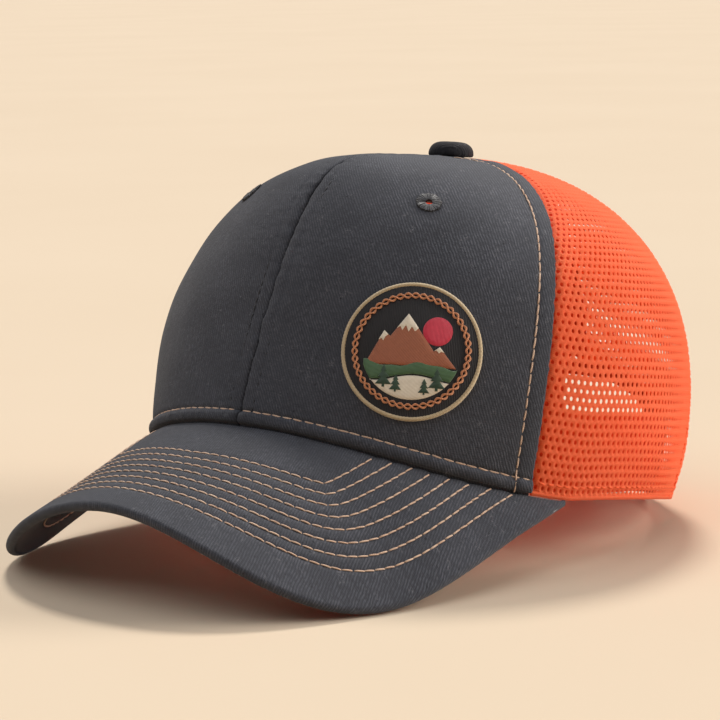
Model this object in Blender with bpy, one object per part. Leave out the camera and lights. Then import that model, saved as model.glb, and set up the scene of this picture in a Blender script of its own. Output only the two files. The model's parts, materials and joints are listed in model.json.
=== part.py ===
"""Six-panel trucker cap: stiff front panels, open mesh sides and back, curved visor, snap strap.

The cap is built in its own frame (front towards -Y, wearer's left towards +X, back hem near z = 0)
and hangs from one empty, which tilts it until the two visor lobes and the back hem share one floor.
"""
import math

import bmesh
import bpy
from mathutils import Matrix, Vector

MM = 0.001

# Crown: an egg-shaped plan at the hem, an apex behind the middle, and walls that bulge a little.
HALF_WIDTH = 91.25 * MM
FRONT_LENGTH = 99.7 * MM
BACK_LENGTH = 97.8 * MM
CROWN_HEIGHT = 124.2 * MM
APEX_Y = 11.2 * MM
FRONT_BLUNTNESS = 0.242
BACK_BLUNTNESS = 0.734
SIDE_BLUNTNESS = 0.983
FRONT_LEAN = 0.218
BACK_LEAN = -0.238
SIDE_LEAN = -0.424
APEX_ROUNDING = 0.12
APEX_HOLE_RATIO = 0.018

# Seams, as plan angles from the front, with straight and square terms in the height ratio.
FRONT_SEAM = (64.2, -24.2, 62.4)
BACK_SEAM = (118.0, 0.0, 22.0)

# Visor: a sheet bent across its width that falls towards its front edge.
SHEET_RISE = 29.3 * MM
SHEET_SPAN = 90.0 * MM
SHEET_BEND = 38.5 * MM
SHEET_BEND_4 = 13.9 * MM
SHEET_SLOPE = 0.374
SHEET_SLOPE_BEND = 0.321
SHEET_SAG = 37.1 * MM
SHEET_SAG_SPAN = 100.0 * MM
VISOR_CORNER = math.radians(73.6)
VISOR_END = math.radians(71.6)
VISOR_HALF_WIDTH = 88.9 * MM
VISOR_LENGTH = 62.5 * MM
VISOR_ROUNDNESS = 2.69
VISOR_WIDEST_Y = -50.5 * MM
BACK_HEM_Z = -0.8 * MM
HEM_TUCK = 2.0 * MM
VISOR_CROWN_GAP = 1.2 * MM

# Thicknesses, and the depth of each layer below the crown's outer surface.
GAP = 0.3 * MM
PANEL_THICKNESS = 0.9 * MM
MESH_THICKNESS = 0.8 * MM
BUCKRAM_DEPTH = 1.2 * MM
BUCKRAM_THICKNESS = 0.7 * MM
TAPE_THICKNESS = 0.5 * MM
FRONT_TAPE_DEPTH = 2.6 * MM
MESH_TAPE_DEPTH = 1.4 * MM
TAPE_WIDTH = 14.0 * MM
TAPE_HALF_ANGLE = math.radians(17)
FRONT_SIDE_TAPE_WIDTH = 17.0 * MM
SWEATBAND_HEIGHT = 30.0 * MM
SWEATBAND_THICKNESS = 1.0 * MM
SWEATBAND_FRONT_DEPTH = 3.7 * MM
SWEATBAND_BACK_DEPTH = 7.3 * MM
SWEATBAND_HEM_GAP = 1.0 * MM
SWEATBAND_END_GAP = 0.03
SWEATBAND_BLEND = (1.2, 0.7)
VISOR_COVER_THICKNESS = 0.6 * MM
VISOR_BOARD_THICKNESS = 1.7 * MM
VISOR_LIP_WIDTH = 1.6 * MM

# Back opening and snap strap.
OPENING_HALF_ANGLE = 31.5
OPENING_HEIGHT = 45.0 * MM
OPENING_ROUNDNESS = 2.4
BINDING_WIDTH = 5.0 * MM
BINDING_THICKNESS = 0.5 * MM
BINDING_CLEARANCE = 0.5 * MM
STRAP_BOTTOM = 3.8 * MM
STRAP_HEIGHT = 16.0 * MM
STRAP_THICKNESS = 1.1 * MM
STRAP_DEPTH = 2.2 * MM
PEG_COUNT = 7
PEG_ENGAGED = 4
PEG_PITCH = 6.35 * MM
PEG_BASE_RADIUS = 1.7 * MM
PEG_TIP_RADIUS = 1.1 * MM
PEG_LENGTH = 1.7 * MM
PEG_SIDES = 12
HOLE_RADIUS = 2.3 * MM
HOLE_SIDES = 16
STRAP_TIP_MARGIN = 5.0 * MM
STRAP_FLEX_ANGLE = math.radians(25.5)
STRAP_TAB_END_ANGLE = math.radians(42.0)
STRAP_TAIL_ANGLE = math.radians(47.0)
FLEX_GAP = 0.8 * MM

# Button, eyelets and badge.
BUTTON_RADIUS = 8.2 * MM
BUTTON_HEIGHT = 5.4 * MM
BUTTON_FABRIC = 0.7 * MM
BUTTON_METAL = 0.6 * MM
BUTTON_FOOT_RATIO = 0.94
BUTTON_SHOULDER_RATIO = 0.22
BUTTON_FLATNESS = 0.55
POST_RADIUS = 1.5 * MM
POST_FLANGE_RADIUS = 5.5 * MM
POST_FLANGE_DEPTH = 4.4 * MM
POST_FLANGE_THICKNESS = 0.8 * MM
EYELET_AT = (math.radians(37.0), math.radians(56.6))
EYELET_RADIUS = 4.8 * MM
EYELET_HOLE_RADIUS = 1.5 * MM
EYELET_THICKNESS = 0.7 * MM
BADGE_AT = (math.radians(33.3), math.radians(20.4))
BADGE_RADIUS = 24.0 * MM
BADGE_BORDER_WIDTH = 1.6 * MM
BADGE_THICKNESS = 1.0 * MM
BADGE_BORDER_THICKNESS = 1.5 * MM

# Mesh density of the solids.
LEVELS = 16
FRONT_COLUMNS = 6
SIDE_COLUMNS = 5
BACK_WALL_COLUMNS = 3
BACK_OPENING_COLUMNS = 6
VISOR_STATIONS = 36

# Colours as linear red, green and blue.
CHARCOAL = (0.045, 0.045, 0.050)
ORANGE = (0.85, 0.16, 0.04)
BUCKRAM_WHITE = (0.70, 0.70, 0.66)
BOARD_GREY = (0.35, 0.35, 0.34)
BADGE_BLACK = (0.02, 0.015, 0.016)
BADGE_TAN = (0.48, 0.33, 0.19)
STEEL = (0.55, 0.55, 0.56)


# ---------------------------------------------------------------- surfaces

def blunt(ratio, exponent):
    """Power of a radius ratio, made linear near zero so that the apex is round."""
    soft = (ratio * ratio + APEX_ROUNDING ** 2) / (1 + APEX_ROUNDING ** 2)
    return ratio * soft ** ((exponent - 1) / 2)


def hem_xy(theta):
    """Plan position of the hem at an angle measured from the front."""
    length = FRONT_LENGTH if math.cos(theta) > 0 else BACK_LENGTH
    return HALF_WIDTH * math.sin(theta), -length * math.cos(theta)


def sheet_z(x, y):
    """Height of the visor sheet, which also sets the front hem."""
    across = x / SHEET_SPAN
    behind = y + FRONT_LENGTH
    slope = SHEET_SLOPE + SHEET_SLOPE_BEND * across * across
    sag = SHEET_SAG * max(0.0, behind / SHEET_SAG_SPAN) ** 2
    return SHEET_RISE - SHEET_BEND * across ** 2 - SHEET_BEND_4 * across ** 4 + slope * behind - sag


def hem_z(theta):
    """Height of the hem: on the visor sheet in front, falling smoothly to the back."""
    angle = abs(theta)
    if angle < VISOR_CORNER:
        return sheet_z(*hem_xy(angle))
    corner_z = sheet_z(*hem_xy(VISOR_CORNER))
    ratio = (angle - VISOR_CORNER) / (math.pi - VISOR_CORNER)
    return BACK_HEM_Z + (corner_z - BACK_HEM_Z) * (1 + math.cos(math.pi * ratio)) / 2


def crown_point(theta, phi):
    """Point of the crown's outer surface; phi runs from the hem (0) to the apex (90 degrees)."""
    ratio = max(math.cos(phi), 0.0)
    fade = 1 - math.sin(phi)
    across = (1 - SIDE_LEAN) * blunt(ratio, SIDE_BLUNTNESS) + SIDE_LEAN * fade
    front = (1 - FRONT_LEAN) * blunt(ratio, FRONT_BLUNTNESS) + FRONT_LEAN * fade
    back = (1 - BACK_LEAN) * blunt(ratio, BACK_BLUNTNESS) + BACK_LEAN * fade
    middle_y = APEX_Y * (1 - blunt(ratio, SIDE_BLUNTNESS))
    front_y = APEX_Y - (FRONT_LENGTH + APEX_Y) * front
    back_y = APEX_Y + (BACK_LENGTH - APEX_Y) * back
    cosine = math.cos(theta)
    reach = middle_y - front_y if cosine > 0 else back_y - middle_y
    base = hem_z(theta)
    height = base + (CROWN_HEIGHT - base) * math.sin(phi)
    return Vector((HALF_WIDTH * math.sin(theta) * across, middle_y - reach * cosine, height))


def crown_normal(theta, phi):
    """Outward normal of the crown, from small steps along the surface."""
    step = 1e-3
    low = max(phi - step, 0.0)
    high = min(phi + step, math.radians(89.5))
    along = crown_point(theta + step, phi) - crown_point(theta - step, phi)
    up = crown_point(theta, high) - crown_point(theta, low)
    return along.cross(up).normalized()


def crown_layer(theta, phi, depth):
    """Crown point moved inwards by a depth; a negative depth is outside the crown."""
    return crown_point(theta, phi) - crown_normal(theta, phi) * depth


def seam_angle(seam, phi):
    ratio = phi / (math.pi / 2)
    return math.radians(seam[0] + seam[1] * ratio + seam[2] * ratio * ratio)


def panel_angle(station, phi):
    """Plan angle of a station: 0 front centre, 1 front seam, 2 back seam, 3 back centre."""
    front = seam_angle(FRONT_SEAM, phi)
    back = seam_angle(BACK_SEAM, phi)
    if station <= 1:
        return front * station
    if station <= 2:
        return front + (back - front) * (station - 1)
    return back + (math.pi - back) * (station - 2)


def phi_at_height(theta, height):
    """phi of the surface point that is a height above the hem."""
    return math.asin(min(1.0, height / (CROWN_HEIGHT - hem_z(theta))))


def crown_levels(count):
    """phi values from the hem to the apex hole, evenly spread along the front and side profiles."""
    top = math.acos(APEX_HOLE_RATIO)
    samples = 400
    phis = [top * i / samples for i in range(samples + 1)]
    travel = [0.0]
    for low, high in zip(phis, phis[1:]):
        front = (crown_point(0.0, high) - crown_point(0.0, low)).length
        side = (crown_point(math.pi / 2, high) - crown_point(math.pi / 2, low)).length
        travel.append(travel[-1] + front + side)
    levels = []
    for step in range(count + 1):
        wanted = travel[-1] * step / count
        index = min(samples - 1, max(i for i in range(samples + 1) if travel[i] <= wanted))
        part = (wanted - travel[index]) / (travel[index + 1] - travel[index])
        levels.append(phis[index] + (phis[index + 1] - phis[index]) * part)
    return levels


def surface_spot(centre, right, up):
    """Surface angles of the point that lies right and up of a centre, in its tangent plane."""
    origin = crown_point(*centre)
    normal = crown_normal(*centre)
    right_axis = Vector((0, 0, 1)).cross(normal).normalized()
    up_axis = normal.cross(right_axis)
    theta, phi = centre
    step = 1e-4
    for _ in range(6):
        here = crown_point(theta, phi) - origin
        along = (crown_point(theta + step, phi) - origin - here) / step
        rise = (crown_point(theta, phi + step) - origin - here) / step
        jacobian = Matrix(((along.dot(right_axis), rise.dot(right_axis)),
                           (along.dot(up_axis), rise.dot(up_axis))))
        miss = Vector((right - here.dot(right_axis), up - here.dot(up_axis)))
        change = jacobian.inverted() @ miss
        theta += change.x
        phi += change.y
    return theta, phi


# ---------------------------------------------------------------- solids

def material(name, colour, roughness, metallic=0.0):
    made = bpy.data.materials.new(name)
    made.use_nodes = True
    shader = made.node_tree.nodes["Principled BSDF"]
    shader.inputs["Base Color"].default_value = (*colour, 1.0)
    shader.inputs["Roughness"].default_value = roughness
    shader.inputs["Metallic"].default_value = metallic
    made.diffuse_color = (*colour, 1.0)
    return made


def add_object(name, points, faces, look, parent):
    """Object from points and faces, with outward normals and smooth shading."""
    mesh = bpy.data.meshes.new(name)
    mesh.from_pydata([tuple(point) for point in points], [], faces)
    work = bmesh.new()
    work.from_mesh(mesh)
    bmesh.ops.triangulate(work, faces=work.faces[:])
    bmesh.ops.recalc_face_normals(work, faces=work.faces[:])
    work.to_mesh(mesh)
    work.free()
    mesh.shade_smooth()
    mesh.set_sharp_from_angle(angle=math.radians(40))
    made = bpy.data.objects.new(name, mesh)
    bpy.context.scene.collection.objects.link(made)
    made.parent = parent
    mesh.materials.append(look)
    return made


def slab(name, outer, inner, look, parent, wrap=False):
    """Closed solid between two equal grids of points; wrap joins the last column to the first."""
    rows = len(outer)
    columns = len(outer[0])
    points = [point for row in outer for point in row] + [point for row in inner for point in row]
    offset = rows * columns

    def at(row, column, side):
        return side * offset + row * columns + column % columns

    faces = []
    spans = columns if wrap else columns - 1
    for side in (0, 1):
        for row in range(rows - 1):
            for column in range(spans):
                quad = [at(row, column, side), at(row, column + 1, side),
                        at(row + 1, column + 1, side), at(row + 1, column, side)]
                faces.append(quad if side == 0 else quad[::-1])
    for row in (0, rows - 1):
        for column in range(spans):
            quad = [at(row, column, 1), at(row, column + 1, 1),
                    at(row, column + 1, 0), at(row, column, 0)]
            faces.append(quad if row == 0 else quad[::-1])
    if not wrap:
        for column in (0, columns - 1):
            for row in range(rows - 1):
                quad = [at(row, column, 0), at(row + 1, column, 0), at(row + 1, column, 1), at(row, column, 1)]
                faces.append(quad if column == 0 else quad[::-1])
    return add_object(name, points, faces, look, parent)


def turned(name, profile, look, parent, centre, sides=20):
    """Solid of revolution about a vertical axis from a profile of (radius, height) pairs."""
    points = []
    rings = []
    for radius, height in profile:
        if radius == 0:
            rings.append([len(points)])
            points.append(centre + Vector((0, 0, height)))
            continue
        rings.append(list(range(len(points), len(points) + sides)))
        for side in range(sides):
            angle = 2 * math.pi * side / sides
            points.append(centre + Vector((radius * math.cos(angle), radius * math.sin(angle), height)))
    faces = []
    for lower, upper in zip(rings, rings[1:] + rings[:1]):
        if len(lower) == 1 and len(upper) == 1:
            continue
        for side in range(sides):
            following = (side + 1) % sides
            quad = [lower[side % len(lower)], lower[following % len(lower)],
                    upper[following % len(upper)], upper[side % len(upper)]]
            faces.append(list(dict.fromkeys(quad)))
    return add_object(name, points, faces, look, parent)


def cutter(name, points_low, points_high, parent):
    """Hidden prism between two rings of points, used only to cut."""
    sides = len(points_low)
    faces = [list(range(sides))[::-1], list(range(sides, 2 * sides))]
    for side in range(sides):
        following = (side + 1) % sides
        faces.append([side, following, sides + following, sides + side])
    made = add_object(name, points_low + points_high, faces, bpy.data.materials["cutter"], parent)
    made.hide_render = True
    made.display_type = "WIRE"
    return made


def cut(target, tool):
    modifier = target.modifiers.new(tool.name, "BOOLEAN")
    modifier.operation = "DIFFERENCE"
    modifier.solver = "EXACT"
    modifier.object = tool


# ---------------------------------------------------------------- crown

def strip_grid(stations, levels, depth, side, tuck=0.0):
    """Grid of crown points over stations and levels, at one depth."""
    grid = []
    if tuck:
        row = []
        for station in stations:
            theta = panel_angle(station, levels[0])
            row.append(crown_layer(theta * side, levels[0], depth) - Vector((0, 0, tuck)))
        grid.append(row)
    for phi in levels:
        grid.append([crown_layer(panel_angle(s, phi) * side, phi, depth) for s in stations])
    return grid


def trimmed(stations, share):
    """Stations with both ends moved inwards by a share of the seam gap."""
    inset = share * GAP / HALF_WIDTH
    return [stations[0] + inset] + stations[1:-1] + [stations[-1] - inset]


def front_panels(root, levels, cloth, stiffener):
    for side, word in ((1, "left"), (-1, "right")):
        stations = [i / FRONT_COLUMNS for i in range(FRONT_COLUMNS + 1)]
        stations = trimmed(stations, 0.5)
        outer = strip_grid(stations, levels, 0.0, side, HEM_TUCK)
        inner = strip_grid(stations, levels, PANEL_THICKNESS, side, HEM_TUCK)
        panel = slab(f"front_panel_{word}", outer, inner, cloth, root)
        inside = BUCKRAM_DEPTH + BUCKRAM_THICKNESS
        outer = strip_grid(stations, levels[:-1], BUCKRAM_DEPTH, side)
        inner = strip_grid(stations, levels[:-1], inside, side)
        buckram = slab(f"front_buckram_{word}", outer, inner, stiffener, root)
        tool = eyelet_cutter(side, word, root)
        cut(panel, tool)
        cut(buckram, tool)


def eyelet_ring(side, radius, depth, sides):
    centre = EYELET_AT
    ring = []
    for step in range(sides):
        angle = 2 * math.pi * step / sides
        theta, phi = surface_spot(centre, radius * math.cos(angle), radius * math.sin(angle))
        ring.append(crown_layer(theta * side, phi, depth))
    return ring


def eyelet_cutter(side, word, root):
    reach = 4 * MM
    low = eyelet_ring(side, EYELET_HOLE_RADIUS, reach, 12)
    high = eyelet_ring(side, EYELET_HOLE_RADIUS, -reach, 12)
    return cutter(f"eyelet_cutter_{word}", low, high, root)


def eyelets(root, thread):
    for side, word in ((1, "left"), (-1, "right")):
        radii = (EYELET_HOLE_RADIUS, EYELET_RADIUS)
        outer = [eyelet_ring(side, radius, -GAP - EYELET_THICKNESS, 20) for radius in radii]
        inner = [eyelet_ring(side, radius, -GAP, 20) for radius in radii]
        slab(f"eyelet_{word}", outer, inner, thread, root, wrap=True)


def side_mesh(root, levels, mesh_cloth):
    for side, word in ((1, "left"), (-1, "right")):
        stations = [1 + i / SIDE_COLUMNS for i in range(SIDE_COLUMNS + 1)]
        stations = trimmed(stations, 1.0)
        outer = strip_grid(stations, levels, 0.0, side)
        inner = strip_grid(stations, levels, MESH_THICKNESS, side)
        slab(f"side_mesh_{word}", outer, inner, mesh_cloth, root)


def opening_edge(turn, shrink=0.0):
    """Station and height of the back opening's edge; turn runs from 0 at the hem to 90 degrees."""
    span = math.degrees(math.pi - seam_angle(BACK_SEAM, 0.0))
    narrow = math.degrees(shrink / HALF_WIDTH)
    power = 2 / OPENING_ROUNDNESS
    half = (OPENING_HALF_ANGLE - narrow) * max(math.cos(turn), 0.0) ** power
    height = (OPENING_HEIGHT - shrink) * math.sin(turn) ** power
    return 3 - half / span, height


def back_mesh(root, levels, mesh_cloth):
    edge_station = opening_edge(0.0)[0]
    walls = [2 + (edge_station - 2) * i / BACK_WALL_COLUMNS for i in range(BACK_WALL_COLUMNS)]
    columns = [(station, 0.0) for station in walls]
    columns[0] = (2 + GAP / HALF_WIDTH, 0.0)
    for step in range(BACK_OPENING_COLUMNS + 1):
        columns.append(opening_edge(math.pi / 2 * step / BACK_OPENING_COLUMNS))
    columns[-1] = (3 - GAP / HALF_WIDTH, OPENING_HEIGHT)
    top = levels[-1]
    for side, word in ((1, "left"), (-1, "right")):
        grids = []
        for depth in (0.0, MESH_THICKNESS):
            grid = []
            for level in levels:
                row = []
                for station, height in columns:
                    low = phi_at_height(math.pi, height)
                    phi = low + (top - low) * level / top
                    row.append(crown_layer(panel_angle(station, phi) * side, phi, depth))
                grid.append(row)
            grids.append(grid)
        slab(f"back_mesh_{word}", grids[0], grids[1], mesh_cloth, root)


def seam_tape(name, station, width, depth, levels, side, look, root):
    """Flat tape that covers a seam from inside, tapering where the panels meet at the apex."""
    grids = []
    for layer in (depth, depth + TAPE_THICKNESS):
        grid = []
        for phi in levels:
            theta = panel_angle(station, phi)
            girth = max(crown_point(math.pi / 2, phi).x, 1 * MM)
            half = min(width / 2 / girth, TAPE_HALF_ANGLE)
            angles = (theta - half, theta, theta + half)
            grid.append([crown_layer(angle * side, phi, layer) for angle in angles])
        grids.append(grid)
    return slab(name, grids[0], grids[1], look, root)


def seam_tapes(root, levels, dark, orange):
    up_to_button = levels[:-2]
    seam_tape("centre_front_seam_tape", 0, TAPE_WIDTH, FRONT_TAPE_DEPTH, up_to_button, 1, dark, root)
    for side, word in ((1, "left"), (-1, "right")):
        seam_tape(f"front_side_seam_tape_{word}", 1, FRONT_SIDE_TAPE_WIDTH, FRONT_TAPE_DEPTH,
                  up_to_button, side, orange, root)
        seam_tape(f"side_back_seam_tape_{word}", 2, TAPE_WIDTH, MESH_TAPE_DEPTH,
                  up_to_button, side, orange, root)
    start = phi_at_height(math.pi, OPENING_HEIGHT + BINDING_WIDTH + 2 * MM)
    above = [start] + [phi for phi in up_to_button if phi > start + math.radians(2)]
    seam_tape("centre_back_seam_tape", 3, TAPE_WIDTH, MESH_TAPE_DEPTH, above, 1, orange, root)


def sweatband(root, look):
    """Band inside the hem, from one side of the back opening round the front to the other."""
    end_station = opening_edge(0.0)[0] - SWEATBAND_END_GAP
    blend_start, blend_span = SWEATBAND_BLEND
    count = 20
    stations = [end_station * (i / count) for i in range(-count, count + 1)]
    grids = []
    for extra in (0.0, SWEATBAND_THICKNESS):
        grid = []
        for height in (SWEATBAND_HEM_GAP, SWEATBAND_HEIGHT / 2, SWEATBAND_HEIGHT):
            row = []
            for station in stations:
                blend = min(1.0, max(0.0, (abs(station) - blend_start) / blend_span))
                blend = blend * blend * (3 - 2 * blend)
                depth = SWEATBAND_FRONT_DEPTH + (SWEATBAND_BACK_DEPTH - SWEATBAND_FRONT_DEPTH) * blend
                theta = panel_angle(abs(station), 0.0)
                phi = phi_at_height(theta, height)
                theta = math.copysign(panel_angle(abs(station), phi), station)
                row.append(crown_layer(theta, phi, depth + extra))
            grid.append(row)
        grids.append(grid)
    slab("sweatband", grids[0], grids[1], look, root)


def opening_binding(root, look):
    """Folded tape round the edge of the back opening, clasping both mesh panels."""
    room = BINDING_CLEARANCE
    web = room + BINDING_THICKNESS
    inside = MESH_THICKNESS + room
    section = [(-BINDING_WIDTH, -web), (web, -web), (web, MESH_THICKNESS + web),
               (-BINDING_WIDTH, MESH_THICKNESS + web), (-BINDING_WIDTH, inside),
               (room, inside), (room, -room), (-BINDING_WIDTH, -room)]
    steps = 2 * BACK_OPENING_COLUMNS
    points = []
    for step in range(steps + 1):
        turn = math.pi * step / steps
        side = 1 if turn < math.pi / 2 else -1
        fold = turn if side == 1 else math.pi - turn
        for shrink, depth in section:
            station, height = opening_edge(fold, shrink)
            phi = phi_at_height(math.pi, height)
            points.append(crown_layer(panel_angle(station, phi) * side, phi, depth))
    count = len(section)
    faces = [list(range(count)), [steps * count + i for i in range(count)][::-1]]
    for step in range(steps):
        for index in range(count):
            following = (index + 1) % count
            faces.append([step * count + index, (step + 1) * count + index,
                          (step + 1) * count + following, step * count + following])
    add_object("back_opening_binding", points, faces, look, root)


# ---------------------------------------------------------------- visor

def visor_outline(count):
    """Plan points of the visor's outer edge from one rear corner to the other, evenly spaced."""
    corner_x, corner_y = hem_xy(VISOR_CORNER)
    reach = FRONT_LENGTH + VISOR_LENGTH + VISOR_WIDEST_Y
    power = 2 / VISOR_ROUNDNESS
    half = []
    for step in range(61):
        angle = math.pi / 2 * step / 60
        half.append((VISOR_HALF_WIDTH * math.sin(angle) ** power,
                     VISOR_WIDEST_Y - reach * max(math.cos(angle), 0.0) ** power))
    control_y = (VISOR_WIDEST_Y + corner_y) / 2
    for step in range(1, 20):
        s = step / 19
        x = (1 - s) ** 2 * VISOR_HALF_WIDTH + 2 * s * (1 - s) * VISOR_HALF_WIDTH + s * s * corner_x
        y = (1 - s) ** 2 * VISOR_WIDEST_Y + 2 * s * (1 - s) * control_y + s * s * corner_y
        half.append((x, y))
    outline = [(-x, y) for x, y in half[:0:-1]] + half
    travel = [0.0]
    for (x0, y0), (x1, y1) in zip(outline, outline[1:]):
        travel.append(travel[-1] + math.hypot(x1 - x0, y1 - y0))
    even = []
    index = 0
    for step in range(count + 1):
        wanted = travel[-1] * step / count
        while index < len(travel) - 2 and travel[index + 1] < wanted:
            index += 1
        part = (wanted - travel[index]) / (travel[index + 1] - travel[index])
        x0, y0 = outline[index]
        x1, y1 = outline[index + 1]
        even.append((x0 + (x1 - x0) * part, y0 + (y1 - y0) * part))
    return even


def sheet_layer(x, y, depth):
    step = 0.2 * MM
    slope_x = (sheet_z(x + step, y) - sheet_z(x - step, y)) / (2 * step)
    slope_y = (sheet_z(x, y + step) - sheet_z(x, y - step)) / (2 * step)
    normal = Vector((-slope_x, -slope_y, 1)).normalized()
    return Vector((x, y, sheet_z(x, y))) - normal * depth


def visor_rows(depths, edge_insets, outline):
    """Grid across the visor from the crown to its edge; each row has its inset and its depth."""
    grid = []
    clearance = 1 + VISOR_CROWN_GAP / HALF_WIDTH
    for depth, (across, inset) in zip(depths, edge_insets):
        row = []
        for index, (edge_x, edge_y) in enumerate(outline):
            theta = VISOR_END * (2 * index / (len(outline) - 1) - 1)
            x, y = hem_xy(theta)
            x, y = x * clearance, y * clearance
            length = math.hypot(edge_x - x, edge_y - y)
            part = across * max(0.0, 1 - inset / length)
            row.append(sheet_layer(x + (edge_x - x) * part, y + (edge_y - y) * part, depth))
        grid.append(row)
    return grid


def visor(root, cloth, board):
    outline = visor_outline(VISOR_STATIONS)
    outline = outline[1:-1]
    cover = VISOR_COVER_THICKNESS
    board_top = cover + GAP
    board_bottom = board_top + VISOR_BOARD_THICKNESS
    under_top = board_bottom + GAP
    edge = VISOR_LIP_WIDTH
    full = [(0, 0), (0.25, 0), (0.5, 0), (0.75, 0), (1, edge - 0.1 * MM), (1, 0)]
    top_outer = visor_rows([0] * 6, full, outline)
    lip = board_bottom
    top_inner = visor_rows([cover, cover, cover, cover, lip, lip], full, outline)
    lip_row = visor_rows([cover], [(1, edge)], outline)[0]
    top_inner = top_inner[:4] + [lip_row] + top_inner[4:]
    lip_top = visor_rows([0], [(1, edge)], outline)[0]
    top_outer = top_outer[:4] + [lip_top] + top_outer[4:]
    slab("visor_top_cover", top_outer, top_inner, cloth, root)
    inside = [(0, 0), (0.25, 0), (0.5, 0), (0.75, 0), (1, edge + GAP)]
    slab("visor_board", visor_rows([board_top] * 5, inside, outline),
         visor_rows([board_bottom] * 5, inside, outline), board, root)
    plain = [(0, 0), (0.25, 0), (0.5, 0), (0.75, 0), (1, 0)]
    slab("visor_under_cover", visor_rows([under_top] * 5, plain, outline),
         visor_rows([under_top + cover] * 5, plain, outline), cloth, root)


# ---------------------------------------------------------------- snap strap

def strap_centre_y():
    """Centre of the circle that follows the back of the hem."""
    return BACK_LENGTH - HALF_WIDTH ** 2 / BACK_LENGTH


def strap_radius(height):
    """Radius of the strap's outer face at a height, leaning with the back wall."""
    top = crown_point(math.pi, phi_at_height(math.pi, 20 * MM))
    lean = (top.y - BACK_LENGTH) / (20 * MM)
    return BACK_LENGTH - strap_centre_y() - STRAP_DEPTH + lean * height


def strap_point(angle, height, depth):
    """Point on the strap; the angle is zero at the back centre and grows to the wearer's left."""
    radius = strap_radius(height) - depth
    return Vector((radius * math.sin(angle), strap_centre_y() + radius * math.cos(angle), height))


def strap_body(name, start, end, depth, look, parent):
    count = max(2, math.ceil(abs(end - start) / math.radians(5)))
    angles = [start + (end - start) * i / count for i in range(count + 1)]
    heights = (STRAP_BOTTOM, STRAP_BOTTOM + STRAP_HEIGHT)
    outer = [[strap_point(a, h, depth) for a in angles] for h in heights]
    inner = [[strap_point(a, h, depth + STRAP_THICKNESS) for a in angles] for h in heights]
    return slab(name, outer, inner, look, parent)


def strap_ring(angle, radius, depth, sides):
    height = STRAP_BOTTOM + STRAP_HEIGHT / 2
    girth = strap_radius(height)
    ring = []
    for step in range(sides):
        turn = 2 * math.pi * step / sides
        along = angle + radius * math.cos(turn) / girth
        ring.append(strap_point(along, height + radius * math.sin(turn), depth))
    return ring


def peg_angles(direction):
    """Angles of the pegs (direction -1) or holes (direction 1); the first ones overlap."""
    pitch = PEG_PITCH / strap_radius(STRAP_BOTTOM + STRAP_HEIGHT / 2)
    first = -direction * pitch * (PEG_ENGAGED - 1) / 2
    return [first + direction * pitch * i for i in range(PEG_COUNT)]


def rounded_tip(strap, direction, depth, parent):
    """Cutters that round both corners of a strap's free end."""
    girth = strap_radius(STRAP_BOTTOM + STRAP_HEIGHT / 2)
    tip = peg_angles(direction)[0] - direction * STRAP_TIP_MARGIN / girth
    radius = 5 * MM
    for word, height, rise in (("low", STRAP_BOTTOM, 1), ("high", STRAP_BOTTOM + STRAP_HEIGHT, -1)):
        outline = [(tip - direction * 1 * MM / girth, height - rise * 1 * MM)]
        for step in range(7):
            turn = math.pi / 2 * step / 6
            along = radius * (1 - math.sin(turn)) / girth
            outline.append((tip + direction * along, height + rise * radius * (1 - math.cos(turn))))
        outline.insert(1, (tip + direction * radius / girth, height - rise * 1 * MM))
        outline.append((tip - direction * 1 * MM / girth, height + rise * radius))
        near = [strap_point(angle, level, depth - 0.2 * MM) for angle, level in outline]
        far = [strap_point(angle, level, depth + STRAP_THICKNESS + 0.2 * MM) for angle, level in outline]
        cut(strap, cutter(f"{strap.name}_corner_{word}", near, far, parent))


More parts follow.
